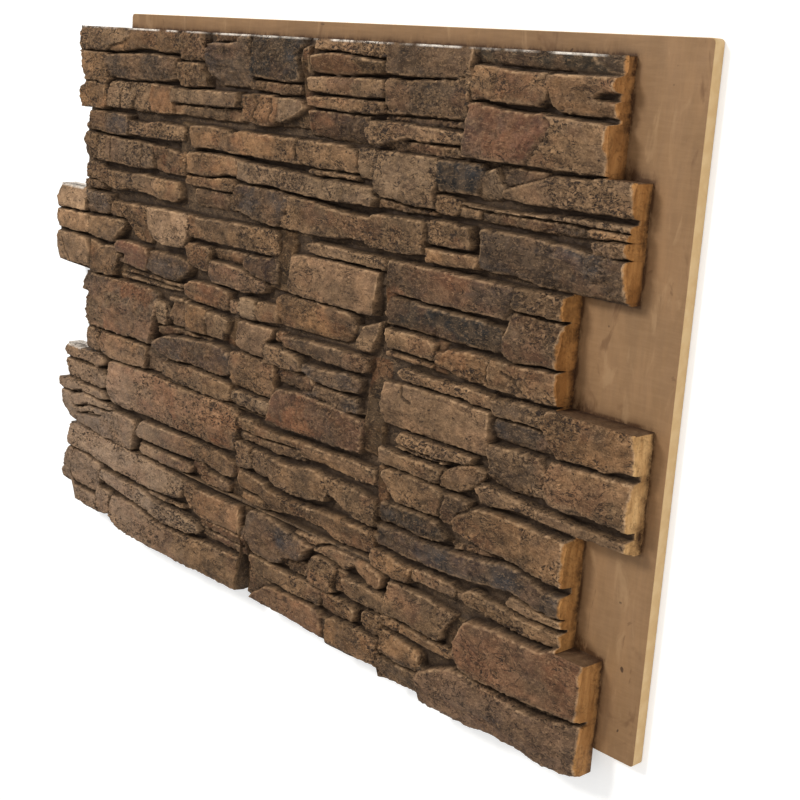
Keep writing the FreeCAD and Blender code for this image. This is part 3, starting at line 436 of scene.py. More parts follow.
# Layers of noise over the relief: size (mm), seed, octaves, stretch along the courses.
LAYERS = {
    "chip": (16.0, 1, 3),
    "chip_fine": (5.0, 5, 2),
    "warp_x": (30.0, 9, 2),
    "warp_x_fine": (8.0, 11, 2),
    "warp_y": (30.0, 13, 2),
    "warp_y_fine": (8.0, 15, 2),
    "bed": (18.0, 21, 3),
    "broad": (60.0, 25, 2, 1.6),
    "middle": (9.0, 31, 2, 1.2),
    "fine": (4.0, 35, 2, 1.1),
    "bedding": (7.0, 39, 3, 9.0),
    "pits": (5.0, 43, 2, 1.5),
    "blotch": (38.0, 47, 4, 1.5),
    "mottle": (13.0, 53, 3, 1.3),
    "cold": (55.0, 57, 4, 1.6),
    "warm": (48.0, 63, 4, 1.3),
    "patch": (46.0, 67, 3, 1.5),
}
# Where some of them begin and are full.
ONSETS = {
    "pits": (0.15, 0.5),
    "blotch": (-0.3, 0.4),
    "cold": (0.0, 0.4),
    "warm": (0.05, 0.45),
    "patch": (-0.2, 0.35),
}
# Layers of broken faces: size (mm), seed, sign, stretch. The scoops and lumps lie over the warped points.
CHIPS = (11.0, 2, 1.0)
SMALL_SCOOPS = (5.0, 6, -1.0, 1.2)
SCOOPS = (34.0, 3, -1.0, 1.7)
LUMPS = (10.0, 4, 1.0, 1.4)

# How stones differ by their number: middle, swing and rate of a sine.
RIDGE_AT = (0.45, 0.25, 3.3)
FALL_ABOVE = (0.13, 0.11, 5.1)
FALL_BELOW = (0.18, 0.15, 2.3)
SIDEWAYS = (0.0, 4.0, 7.7)
SHADE = (0.94, 0.09, 12.9898)
HUE = (0.0, 1.0, 4.7)

# Outlines that come this near to a course's cut end or bare upper side run this far past it (mm).
END_CATCH = 1.5
END_RUN = 25.0
TOP_CATCH = 8.0
TOP_RUN = 12.0
# How far round its outline a stone is worked out, how far its sides and a joint's reach out, and how much its
# outline shrinks to leave a gap (mm).
REACH_PAST_OUTLINE = 8.0
STONE_MARGIN = 2.2
JOINT_MARGIN = 4.0
STONE_GAP = 1.1
# Gaps narrower than twice these cells are bridged, the relief's ones NOTCH mm below their brims.
BRIDGED_CELLS = 3
NOTCH = 3.5
LEFT_NOTCH_CELLS = 8
LOWER_NOTCH_CELLS = 5
# How far a course's edge lies past its outlines, and how far along the course its shape fades out (mm).
EDGE_MARGIN = 2.0
EDGE_SPAN = 110.0
# Depth of the cracks, softness of the highest points, least and greatest width of the sawn rim (mm).
CRACK_DEPTH = 5.0
CREST_SOFTNESS = 1.5
RIM_LIMITS = (0.4, 9.0)
# Edges sharper than this angle are creased (degrees).
CREASE = 42.0
# The courses whose left ends lap past the one above, and from where.
LAPPED = (2, 4)
LAP_AT = -100.0
# The rings down a course's sides, as shares of its height, and the names of its four sides.
SIDE_SHARES = (0.05, 0.2, 0.4, 0.6, 0.8, 1.0)
LOWER, RIGHT, UPPER, LEFT = range(4)
# Size of the lattice of random values under all the noise, and a distance past any on the panel.
LATTICE_SIZE = 512
LATTICE_MASK = LATTICE_SIZE - 1
FAR = 1e9

# Cracks in the stones, as lines over the sheet (mm).
CRACKS = [
    [(-133, 210), (-95, 220)],
    [(-122, 183), (-95, 190), (-70, 200)],
    [(-95, 175), (-60, 178), (-25, 185)],
    [(-53, 700), (-47, 660)],
    [(-15, 700), (-5, 658)],
    [(20, 797), (16, 775), (19, 755)],
    [(38, 795), (42, 778)],
    [(-170, 500), (-160, 478), (-145, 460)],
    [(518, 741), (515, 722), (517, 704)],
    [(230, 688), (232, 672), (229, 660)],
    [(58, 797), (57, 781), (60, 768), (55, 747)],
    [(108, 783), (108, 770), (116, 762)],
    [(83, 696), (92, 679), (87, 661)],
    [(62, 651), (60, 633), (69, 615)],
    [(54, 585), (63, 565), (88, 554), (96, 533)],
    [(118, 590), (116, 572), (125, 551)],
    [(403, 797), (414, 786), (410, 766), (420, 755)],
    [(445, 794), (454, 779), (450, 761)],
    [(7, 37), (0, 19), (5, 5)],
    [(238, 125), (247, 111), (243, 95)],
    [(876, 281), (873, 264), (869, 249)],
    [(942, 478), (942, 462), (946, 455)],
    [(969, 476), (990, 470), (1003, 456)],
    [(777, 413), (781, 401), (800, 395)],
]

# How brightly the sky lights the object and is seen, how much the floor glows, and half the floor's side (m).
SKY = 0.57
SKY_SEEN = 0.75
FLOOR_GLOW = 0.28
FLOOR_HALF = 60.0
# Lamps: place, aim and size (m), power (W), colour.
LAMPS = {
    "key": ((-1.0, 2.3, 3.3), (-0.1, -0.1, 0.0), 1.0, 102.0, (1.0, 0.98, 0.93)),
    "fill": ((2.6, 0.0, 1.8), (0.3, -0.1, 0.0), 1.4, 18.0, (1.0, 0.97, 0.9)),
}


def tint(rgb):
    """The linear colour of an sRGB triple of 0 to 255."""
    c = np.array(rgb, dtype=float) / 255.0
    return np.where(c <= 0.04045, c / 12.92, ((c + 0.055) / 1.055) ** 2.4)


def blend(base, colour, share):
    """Linear colours, moved towards another by a share for each point."""
    return base + (colour - base) * share[..., None]


def smooth_step(low, high, value):
    """0 at low, 1 at high, smooth between; low may be the larger."""
    t = np.clip((value - low) / (high - low), 0.0, 1.0)
    return t * t * (3.0 - 2.0 * t)


def varied(number, middle, swing, rate):
    """A value that differs from stone to stone."""
    return middle + swing * math.sin(number * rate)


LATTICE = np.random.default_rng(20).random((LATTICE_SIZE, LATTICE_SIZE)) * 2.0 - 1.0


def lattice(ix, iy):
    """The lattice's value at whole steps."""
    return LATTICE[ix & LATTICE_MASK, iy & LATTICE_MASK]


def bumps(x, y, seed):
    """Smooth noise between -1 and 1, one bump for each unit."""
    x = x + seed * 31.7
    y = y + seed * 57.3
    ix = np.floor(x).astype(int)
    iy = np.floor(y).astype(int)
    fx = x - ix
    fy = y - iy
    fx = fx * fx * (3.0 - 2.0 * fx)
    fy = fy * fy * (3.0 - 2.0 * fy)
    a = lattice(ix, iy)
    b = lattice(ix + 1, iy)
    c = lattice(ix, iy + 1)
    d = lattice(ix + 1, iy + 1)
    return (a + (b - a) * fx) * (1.0 - fy) + (c + (d - c) * fx) * fy


def noise(x, y, size, seed, octaves=3, stretch=1.0):
    """Layered noise whose largest bumps are size mm wide, and stretch times as long."""
    total = 0.0
    share = 0.5
    for octave in range(octaves):
        total = total + share * bumps(x / (size * stretch), y / size, seed + octave * 3)
        size = size * 0.5
        share = share * 0.55
    return total * 1.2


def facets(x, y, size, seed, sign, stretch=1.0):
    """Broken faces about size mm wide: lumps with sharp valleys for sign 1, scoops with ridges for -1."""
    u = x / (size * stretch) + seed * 3.7
    v = y / size + seed * 5.1
    iu = np.floor(u).astype(int)
    iv = np.floor(v).astype(int)
    best = np.full(x.shape, -FAR)
    for du in (-1, 0, 1):
        for dv in (-1, 0, 1):
            a = iu + du
            b = iv + dv
            pu = u - (a + 0.5 + 0.42 * lattice(a, b))
            pv = v - (b + 0.5 + 0.42 * lattice(a + 101, b + 57))
            tip = lattice(a + 211, b) * pu + lattice(a, b + 307) * pv
            lift = 0.5 * lattice(a + 33, b + 401)
            best = np.maximum(best, lift + 0.8 * tip - 0.9 * (pu * pu + pv * pv))
    return sign * (best + 0.1)


def read_stones(text):
    """The stones of a table as (course, finish, height, lean, outline). A line without a bar goes on with
    the outline of the line before it."""
    stones = []
    course = 0
    for line in text.strip().splitlines():
        if line.startswith("C"):
            course = int(line[1]) - 1
            continue
        facts, bar, outline = line.rpartition("|")
        points = [[float(v) for v in p.split(",")] for p in outline.split()]
        if bar:
            finish, height, lean = facts.split()
            stones.append([course, finish, float(height), float(lean), points])
        else:
            stones[-1][-1] += points
    return [(*facts, np.array(points)) for *facts, points in stones]


ALL_STONES = read_stones(STONES)
ALL_JOINTS = read_stones(JOINTS)


def nearest_along(x, y, x0, y0, x1, y1, least=0.0):
    """The offset of each point from the nearest point of a line from (x0, y0) to (x1, y1)."""
    dx = x1 - x0
    dy = y1 - y0
    t = np.clip(((x - x0) * dx + (y - y0) * dy) / (dx * dx + dy * dy + least), 0.0, 1.0)
    return x - x0 - t * dx, y - y0 - t * dy


def depth_inside(x, y, outline):
    """Distance to the outline, above zero inside it."""
    near = np.full(x.shape, FAR)
    inside = np.zeros(x.shape, dtype=bool)
    for (x0, y0), (x1, y1) in zip(outline, np.roll(outline, -1, axis=0)):
        off_x, off_y = nearest_along(x, y, x0, y0, x1, y1, 1e-9)
        near = np.minimum(near, off_x**2 + off_y**2)
        rise = y1 - y0
        crosses = (y0 > y) != (y1 > y)
        inside ^= crosses & (x < x0 + (y - y0) * (x1 - x0) / (rise if abs(rise) > 1e-9 else 1e-9))
    return np.where(inside, 1.0, -1.0) * np.sqrt(near)


def near_lines(x, y, lines):
    """How far each point is from the nearest of some open lines."""
    best = np.full(x.shape, FAR)
    for line in lines:
        for start, end in zip(line[:-1], line[1:]):
            best = np.minimum(best, np.hypot(*nearest_along(x, y, *start, *end)))
    return best


def line_y(index, x):
    """Height of the line above a course at x."""
    left, right = LINES[index]
    share = (x - LINE_SPAN[0]) / (LINE_SPAN[1] - LINE_SPAN[0])
    return left + (right - left) * share


def exposed_from(course):
    """Where along a course its upper side is bare: past the right end of the course above."""
    return -FAR if course == 0 else RIGHT_ENDS[course - 1]


def window(values, reach, pick):
    """The least or the greatest value within reach cells along each row, as pick is np.min or np.max."""
    padded = np.pad(values, [(0, 0)] * (values.ndim - 1) + [(reach, reach)], mode="edge")
    width = values.shape[-1]
    return pick([padded[..., k : k + width] for k in range(2 * reach + 1)], axis=0)


def outer_edge(outlines, places, axis, reach):
    """Where the outlines begin on the other axis, at each place on this one, with narrow notches filled."""
    other = 1 - axis
    found = []
    for place in places:
        starts = []
        for outline in outlines:
            for a, b in zip(outline, np.roll(outline, -1, axis=0)):
                if (a[axis] > place) != (b[axis] > place):
                    starts.append(a[other] + (place - a[axis]) * (b[other] - a[other]) / (b[axis] - a[axis]))
        found.append(min(starts) if starts else np.nan)
    found = np.array(found)
    known = ~np.isnan(found)
    found = np.interp(places, places[known], found[known])
    return window(window(found, reach, np.min), reach, np.max) - EDGE_MARGIN


def blurred(values, radius):
    """values, averaged over a square of cells."""
    padded = np.pad(values, radius, mode="edge")
    width = 2 * radius + 1
    total = np.cumsum(np.cumsum(np.pad(padded, ((1, 0), (1, 0))), axis=0), axis=1)
    box = total[width:, width:] - total[:-width, width:] - total[width:, :-width] + total[:-width, :-width]
    return box / float(width * width)


def stone_depth(x, y, chip, course, outline, joint):
    """How far inside a stone's chipped outline each point is."""
    shape = outline.copy()
    end = RIGHT_ENDS[course]
    shape[shape[:, 0] > end - END_CATCH, 0] = end + END_RUN
    bare_from = exposed_from(course)
    if not joint and outline[:, 0].max() > bare_from:
        line = line_y(course, shape[:, 0])
        lifted = (shape[:, 1] > line - TOP_CATCH) & (outline[:, 0] > bare_from - TOP_CATCH / 2.0)
        shape[lifted, 1] = line[lifted] + TOP_RUN
    inner = depth_inside(x, y, shape)
    for aside in (-2.0, 2.0):
        inner = np.maximum(inner, depth_inside(x + aside, y, shape))
    return inner + chip - (0.0 if joint else STONE_GAP)


def stone_face(x, y, number, stone, worn, at):
    """Height of a stone's broken face. at holds the layers of noise at its points."""
    _, finish, top, lean, outline = stone
    uneven, bedding, pit = FINISHES[finish][2:5]
    left, lower = outline.min(axis=0)
    right, upper = outline.max(axis=0)
    wide = right - left
    tall = upper - lower
    over = y - (upper - tall * varied(number, *RIDGE_AT) + 7.0 * at["broad"])
    face = top + math.tan(math.radians(lean)) * (y - (lower + upper) / 2.0)
    face = face + varied(number, *SIDEWAYS) * (x - (left + wide / 2.0)) / (wide + 60.0)
    face = face + 0.045 * tall - varied(number, *FALL_ABOVE) * np.maximum(over, 0.0)
    face = face - varied(number, *FALL_BELOW) * np.maximum(-over, 0.0)
    rough = 1.2 * at["broad"] + 3.4 * at["scoops"] + 1.2 * at["lumps"] + 0.6 * at["middle"]
    rough = rough + worn * (1.5 * at["small"] + 1.3 * at["fine"])
    return face + uneven * rough + bedding * 1.5 * at["bedding"] - pit * worn * at["pits"]


def stone_colour(x, y, number, stone, joint, inner, at):
    """Linear colour of a stone's points, by how far inside its outline they are."""
    _, finish, _, _, outline = stone
    main, second, _, bedding, _, _, cold, warm = FINISHES[finish]
    lower = outline[:, 1].min()
    upper = outline[:, 1].max()
    tall = upper - lower
    past_middle = y - (lower + upper) / 2.0
    mixed = blend(tint(main), tint(second), at["blotch"])
    mixed = blend(mixed, tint(COLD), cold * at["cold"])
    mixed = blend(mixed, tint(WARM), warm * at["warm"])
    shade = varied(number, *SHADE) + 0.36 * at["mottle"] + 0.30 * at["middle"]
    shade = shade + 0.3 * bedding * at["bedding"] + 0.4 * at["broad"]
    hue = varied(number, *HUE)
    mixed = mixed * shade[:, None] * np.array([1.0 + 0.05 * hue, 1.0, 1.0 - 0.06 * hue])
    if not joint:
        part = past_middle / tall + 0.5 * at["broad"]
        # Painted highlight: a pale line along each stone's upper edge, in its upper part only.
        upper_highlight = smooth_step(-0.8, 0.3, inner) * smooth_step(3.2, 1.0, inner)
        upper_highlight = upper_highlight * smooth_step(-0.1, 0.3, part) * np.clip(0.45 + 1.1 * at["small"], 0.0, 1.0)
        paler = tint(EDGE_HIGHLIGHT) * (0.55 + 0.45 * min(1.0, main[0] / 120.0))
        mixed = blend(mixed, paler, 0.75 * upper_highlight)
        # Painted shade: each stone's lower part darker near its edge, towards the joints' colour.
        darkening = smooth_step(7.0, 0.5, inner + 3.0 * at["mottle"]) * smooth_step(0.0, -0.3, part)
        mixed = blend(mixed, tint(GROOVE), 0.6 * darkening)
    # A paler tone towards the lower left corner.
    paler_corner = smooth_step(330.0, 0.0, x) * smooth_step(420.0, 200.0, y)
    mixed = blend(mixed, tint(LOWER_LEFT_PALE), 0.42 * paler_corner)
    level_edge = smooth_step(0.28, 0.42, np.abs(past_middle) / tall)
    foot = smooth_step(-2.6 + 1.4 * level_edge, -0.4 + 0.9 * level_edge, inner)
    return blend(tint(GROOVE), mixed, foot)


def relief_layers(x, y):
    """The layers of noise at each point, and the points warped by some of them."""
    layer = {name: noise(x, y, *values) for name, values in LAYERS.items()}
    for name, (low, high) in ONSETS.items():
        layer[name] = smooth_step(low, high, layer[name])
    layer["chip"] = layer["chip"] * 0.8 + layer["chip_fine"] * 0.7 + facets(x, y, *CHIPS) * 1.2
    layer["small"] = facets(x, y, *SMALL_SCOOPS)
    wx = x + layer["warp_x"] * 1.2 + layer["warp_x_fine"] * 0.5
    wy = y + layer["warp_y"] * 1.0 + layer["warp_y_fine"] * 0.5
    layer["scoops"] = facets(wx, wy, *SCOOPS)
    layer["lumps"] = facets(wx, wy, *LUMPS)
    return layer, wx, wy


def relief(x, y, edge_gap):
    """Height of the relief above the sheet's front, its colour and its speckle. edge_gap is how far each
    point is from the left end, where the mortar comes up nearly to the stones' faces."""
    layer, wx, wy = relief_layers(x, y)
    floor = BED + layer["bed"] * 1.6 + 12.0 * smooth_step(26.0, 4.0, edge_gap)
    height = floor.copy()
    colour = np.broadcast_to(tint(GROOVE), x.shape + (3,)).copy()
    speckle = np.full(x.shape, 0.4)
    for number, stone in enumerate(ALL_JOINTS + ALL_STONES):
        course, finish, _, _, outline = stone
        joint = number < len(ALL_JOINTS)
        low = outline.min(axis=0) - REACH_PAST_OUTLINE
        high = outline.max(axis=0) + REACH_PAST_OUTLINE
        near = np.nonzero((x > low[0]) & (x < high[0]) & (y > low[1]) & (y < high[1]))
        if not len(near[0]):
            continue
        at = {name: values[near] for name, values in layer.items()}
        inner = stone_depth(wx[near], wy[near], at["chip"], course, outline, joint)
        worn = 0.3 + 1.1 * at["patch"] + 0.6 * smooth_step(9.0, 1.0, inner)
        face = stone_face(x[near], y[near], number, stone, worn, at)
        if joint:
            lift = smooth_step(-JOINT_MARGIN, 3.0, inner)
        else:
            lift = 0.94 * np.clip((inner + STONE_MARGIN) / 1.9, 0.0, 1.0)
            lift = lift + 0.06 * smooth_step(-0.5, 3.0, inner)
        raised = floor[near] + (face - floor[near]) * lift
        taller = (inner > -(JOINT_MARGIN if joint else STONE_MARGIN)) & (raised > height[near])
        spot = (near[0][taller], near[1][taller])
        at = {name: values[taller] for name, values in at.items()}
        height[spot] = raised[taller]
        colour[spot] = stone_colour(x[spot], y[spot], number, stone, joint, inner[taller], at)
        speckle[spot] = FINISHES[finish][5] * worn[taller]
    away = near_lines(wx, wy, CRACKS)
    height = height - CRACK_DEPTH * smooth_step(3.0, 0.4, away)
    colour = blend(colour, tint(GROOVE) * 0.6, 0.75 * smooth_step(3.2, 1.2, away))
    top = TOP_LIMIT - CREST_SOFTNESS
    softened = top + CREST_SOFTNESS * np.tanh((height - top) / CREST_SOFTNESS)
    return np.where(height > top, softened, height), np.clip(colour, 0.0, 1.0), speckle


def add_mesh(name, points, faces, sharp, material):
    """A smooth-shaded object from points in mm of the sheet, with its sharp edges."""
    place = np.array([ORIGIN_X, ORIGIN_Y, SHEET_THICKNESS])
    mesh = bpy.data.meshes.new(name)
    mesh.from_pydata(((points + place) * MM).tolist(), [], faces)
    mesh.update()
    mesh.shade_smooth()
    mesh.set_sharp_from_angle(angle=math.radians(CREASE))
    wanted = {tuple(sorted(pair)) for pair in sharp}
    for edge in mesh.edges:
        if tuple(sorted(edge.vertices)) in wanted:
            edge.use_edge_sharp = True
    mesh.materials.append(material)
    item = bpy.data.objects.new(name, mesh)
    bpy.context.scene.collection.objects.link(item)
    return item


def paint(item, name, values):
    """Stores a colour for each vertex."""
    layer = item.data.attributes.new(name, "FLOAT_COLOR", "POINT")
    rgba = np.ones((len(values), 4), dtype=np.float32)
    rgba[:, : values.shape[1]] = values
    layer.data.foreach_set("color", rgba.ravel())


def closed_faces(rows, columns, levels):
    """The faces of a closed block: a grid on top, rings of faces down from its rim, one face below. Also the
    rim's points, and the edges round the top and the bottom."""
    grid = np.arange(rows * columns).reshape(rows, columns)
    quads = np.stack([grid[:-1, :-1], grid[:-1, 1:], grid[1:, 1:], grid[1:, :-1]], axis=-1)
    faces = quads.reshape(-1, 4).tolist()
    rim = np.concatenate([grid[0, :-1], grid[:-1, -1], grid[-1, :0:-1], grid[:0:-1, 0]])
    upper = rim
    for level in range(levels):
        lower = np.arange(len(rim)) + rows * columns + level * len(rim)
        faces += np.stack([upper, lower, np.roll(lower, -1), np.roll(upper, -1)], axis=-1).tolist()
        upper = lower
    faces.append(upper[::-1].tolist())
    edges = [pair for ring in (rim, upper) for pair in zip(ring.tolist(), np.roll(ring, -1).tolist())]
    return faces, rim, edges


def course_grid(index):
    """The points of a course over the sheet, the line along its top, and how far in from its left end."""
    outlines = [stone[4] for stone in ALL_STONES if stone[0] == index]
    low_y = min(o[:, 1].min() for o in outlines)
    high_y = max(o[:, 1].max() for o in outlines)
    sample = np.arange(low_y + 0.5, high_y, 1.0)
    edge = np.maximum(outer_edge(outlines, sample, 1, LEFT_NOTCH_CELLS), LEFT_LIMIT)
    start = float(edge.min())
    right = RIGHT_ENDS[index]
    along = np.linspace(start, right, int(round((right - start) / CELL)) + 1)
    top = line_y(index, along)
    if index < len(LINES) - 1:
        bottom = line_y(index + 1, along)
    else:
        bottom = np.maximum(outer_edge(outlines, along, 0, LOWER_NOTCH_CELLS), LOWER_LIMIT)
    rows = int(round(float((top - bottom).max()) / CELL)) + 1
    y = bottom + (top - bottom) * np.linspace(0.0, 1.0, rows)[:, None]
    shift = np.interp(y, sample, edge) - start
    x = along + shift * np.clip(1.0 - (along - start) / EDGE_SPAN, 0.0, 1.0)
    return x, y, top, x - start - shift


def white_edge_share(index, x, y, top):
    """How much near-white along a course's upper edge each point takes: a painted highlight on course 1, and
    the white of the lapped ends' tops on the lapped courses.
    """
    if index == 0:
        return smooth_step(3.2, 1.4, top - y) * (0.55 + 1.4 * noise(x, y, 26.0, 83, 3))
    if index in LAPPED:
        return 1.3 * smooth_step(4.4, 2.6, top - y) * smooth_step(LAP_AT, LAP_AT - 6.0, x)
    return np.zeros_like(x)


def course_ring(base, side, index, share):
    """The ring of points down a course's sides at a share of its height; all but the last are wavy."""
    ring = base.copy()
    ring[:, 2] = base[:, 2] * (1.0 - share)
    if share < 1.0:
        wave = np.clip(noise(base[:, 0] + base[:, 1], ring[:, 2], 9.0, 61, 2) * 1.6 + 1.0, 0.0, 3.0)
        ring[side == LEFT, 0] += wave[side == LEFT]
        if index == len(LINES) - 1:
            ring[side == LOWER, 1] += wave[side == LOWER]
    return ring


def build_course(index, material):
    """One course as a closed mesh: its relief, its sides and its underside."""
    x, y, top, edge_gap = course_grid(index)
    rows, columns = x.shape
    height, colour, speckle = relief(x, y, edge_gap)
    bridged = window(window(height, BRIDGED_CELLS, np.max), BRIDGED_CELLS, np.min)
    height = np.maximum(height, bridged - NOTCH)
    to_end = RIGHT_ENDS[index] - x
    rim_width = np.clip(3.0 + 5.0 * noise(x, y, 14.0, 81, 3), *RIM_LIMITS)
    sawn = smooth_step(rim_width + 0.9, rim_width - 0.9, to_end)
    height = height - sawn * (0.8 + 0.25 * np.clip(rim_width - to_end, 0.0, 9.0))
    rough = height - blurred(height, 2)
    # A dark wash in the hollows, which is also their painted shade.
    hollow = np.maximum(blurred(height, 5) - height, 0.8 * (blurred(height, 10) - height))
    ridge = np.clip((rough - 0.3) / 1.6, 0.0, 1.0)
    wash_and_shade = np.clip((hollow - 1.0) / 8.0, 0.0, 1.0) * 0.8 + np.clip((-rough - 0.2) / 1.4, 0.0, 1.0) * 0.4
    # Painted highlight: a pale line along the inner edge of the sawn rim.
    highlight_line = smooth_step(2.6, 0.4, np.abs(to_end - rim_width - 1.0)) * (0.5 + 0.9 * noise(x, y, 12.0, 87, 2))
    colour = blend(colour, tint(SAWN[index]), sawn)
    colour = blend(colour, tint(EDGE_HIGHLIGHT), np.clip(highlight_line, 0.0, 0.8))

    faces, rim, sharp = closed_faces(rows, columns, len(SIDE_SHARES))
    side = np.repeat([LOWER, RIGHT, UPPER, LEFT], [columns - 1, rows - 1, columns - 1, rows - 1])
    base = np.stack([x, y, height], axis=-1).reshape(-1, 3)[rim]
    sawn_end = side == RIGHT
    bare = (side == UPPER) & (base[:, 0] > max(exposed_from(index), 0.0))
    lapped = (side == UPPER) & (base[:, 0] < LAP_AT) & (index in LAPPED)
    skirt = colour.reshape(-1, 3)[rim]
    for where, tone in ((sawn_end, SAWN[index]), (bare, BARE_SIDE), (lapped, WHITE_EDGE)):
        skirt = np.where(where[:, None], tint(tone), skirt)
    cut = 1.0 * sawn_end + 0.75 * bare
    # Painted highlight: a near-white line along course 1's top edge; near-white too along the lapped ends'
    # tops.
    colour = blend(colour, tint(WHITE_EDGE), np.clip(white_edge_share(index, x, y, top), 0.0, 1.0))

    points = [np.stack([x, y, height], axis=-1).reshape(-1, 3)]
    colours = [colour.reshape(-1, 3)]
    marks = [np.stack([wash_and_shade * (1.0 - sawn), ridge, sawn, speckle], axis=-1).reshape(-1, 4)]
    for share in SIDE_SHARES:
        ring = course_ring(base, side, index, share)
        patchy = 15.0 + 22.0 * noise(base[:, 0] + base[:, 1], ring[:, 2] * 0.4, 26.0, 85, 3)
        patchy = np.where(sawn_end, 0.55 * patchy - 2.0, patchy)
        # Stain and painted shade: the sides darker towards the sheet and where they stand at the joints'
        # level.
        darker = np.clip(1.3 - ring[:, 2] / np.maximum(patchy, 4.0), 0.0, 1.0)
        darker = np.clip(darker + 0.3 * (base[:, 2] < BED + 6.0), 0.0, 1.0) * (1.0 - lapped)
        points.append(ring)
        colours.append(skirt)
        marks.append(np.stack([darker, np.zeros_like(darker), cut, marks[0][rim, 3]], axis=-1))
    for at in (columns - 1, columns + rows - 2):
        below = [rows * columns + level * len(rim) + at for level in range(len(SIDE_SHARES))]
        sharp += zip([int(rim[at])] + below[:-1], below)
    item = add_mesh(f"stone_course_{index + 1}", np.concatenate(points), faces, sharp, material)
    paint(item, "tint", np.concatenate(colours))
    paint(item, "marks", np.concatenate(marks))
    return item


def rounded(x, y, inset):
    """Points of the sheet's rectangle, moved into its rounded outline made smaller by inset mm."""
    nearest_x = np.clip(x, CORNER, SHEET_LENGTH - CORNER)
    nearest_y = np.clip(y, CORNER, SHEET_WIDTH - CORNER)
    dx = x - nearest_x
    dy = y - nearest_y
    in_corner = (np.abs(dx) > 1e-6) & (np.abs(dy) > 1e-6)
    square = np.maximum(np.abs(dx), np.abs(dy))
    scale = np.where(in_corner, square / np.maximum(np.hypot(dx, dy), 1e-6), 1.0)
    size = (CORNER - inset) / CORNER
    return nearest_x + dx * scale * size, nearest_y + dy * scale * size


def beside_relief(x, y):
    """How far points of the sheet are from the relief, and how deep in the nooks above longer courses."""
    gap = np.full(x.shape, FAR)
    nook = np.zeros(x.shape)
    for index, end in enumerate(RIGHT_ENDS):
        upper = line_y(index, x)
        under = line_y(index + 1, x) if index < len(LINES) - 1 else np.full_like(x, -60.0)
        above = np.maximum(y - upper, 0.0)
        below = np.maximum(under - y, 0.0)
        gap = np.minimum(gap, np.hypot(np.maximum(x - end, 0.0), np.maximum(above, below)))
        if index and end > RIGHT_ENDS[index - 1]:
            reach = np.hypot(np.maximum(x - RIGHT_ENDS[index - 1], 0.0) / 1.5, above)
            nook = np.maximum(nook, np.clip(1.0 - reach / 27.0, 0.0, 1.0) * (y > upper - 1.0))
    return gap, nook


def build_sheet(material):
    """The sheet that carries the stones, with rounded corners and an eased edge."""
    near_edge = [0.0, 1.5, 3.0, 4.5, CORNER]
    hidden = list(np.arange(20.0, 1030.0, 22.0))
    flange = list(np.linspace(1040.0, SHEET_LENGTH - CORNER, 70)[:-1])
    across = list(np.linspace(CORNER, SHEET_WIDTH - CORNER, 300)[1:-1])
    xs = np.array(near_edge + hidden + flange + [SHEET_LENGTH - v for v in near_edge[::-1]])
    ys = np.array(near_edge + across + [SHEET_WIDTH - v for v in near_edge[::-1]])
    x, y = np.meshgrid(xs, ys)
    wide = np.stack(rounded(x, y, 0.0), axis=-1).reshape(-1, 2)
    x, y = rounded(x, y, EASE)
    gap, nook = beside_relief(x, y)
    # A brown stain with painted shade along the stones' foot, darkest in the nooks above longer courses.
    foot = np.maximum(np.clip(1.3 - gap / 5.0, 0.0, 1.0), 0.45 * np.clip(1.0 - gap / 17.0, 0.0, 1.0) ** 1.4)
    foot = np.clip(foot + 1.3 * nook, 0.0, 1.0)
    dip = -0.35 * (0.5 + 0.5 * noise(x, y, 120.0, 71, 3)) * smooth_step(3.0, 14.0, gap)
    strip = smooth_step(876.0, 888.0, y) * smooth_step(1150.0, 1110.0, x)
    blank = np.zeros_like(foot)
    points = [np.stack([x, y, dip], axis=-1).reshape(-1, 3)]
    marks = [np.stack([foot, blank, blank, strip], axis=-1).reshape(-1, 4)]
    levels = [-EASE, -SHEET_THICKNESS / 2, -SHEET_THICKNESS + EASE, -SHEET_THICKNESS]
    faces, rim, sharp = closed_faces(*x.shape, len(levels))
    for z in levels:
        last = z == levels[-1]
        flat = points[0][rim, :2] if last else wide[rim]
        points.append(np.column_stack([flat, np.full(len(rim), z)]))
        marks.append(np.tile([0.0, 0.0, 0.0 if last else 1.0, 0.0], (len(rim), 1)))
    item = add_mesh("backing_sheet", np.concatenate(points), faces, sharp, material)
    paint(item, "marks", np.concatenate(marks))
    return item


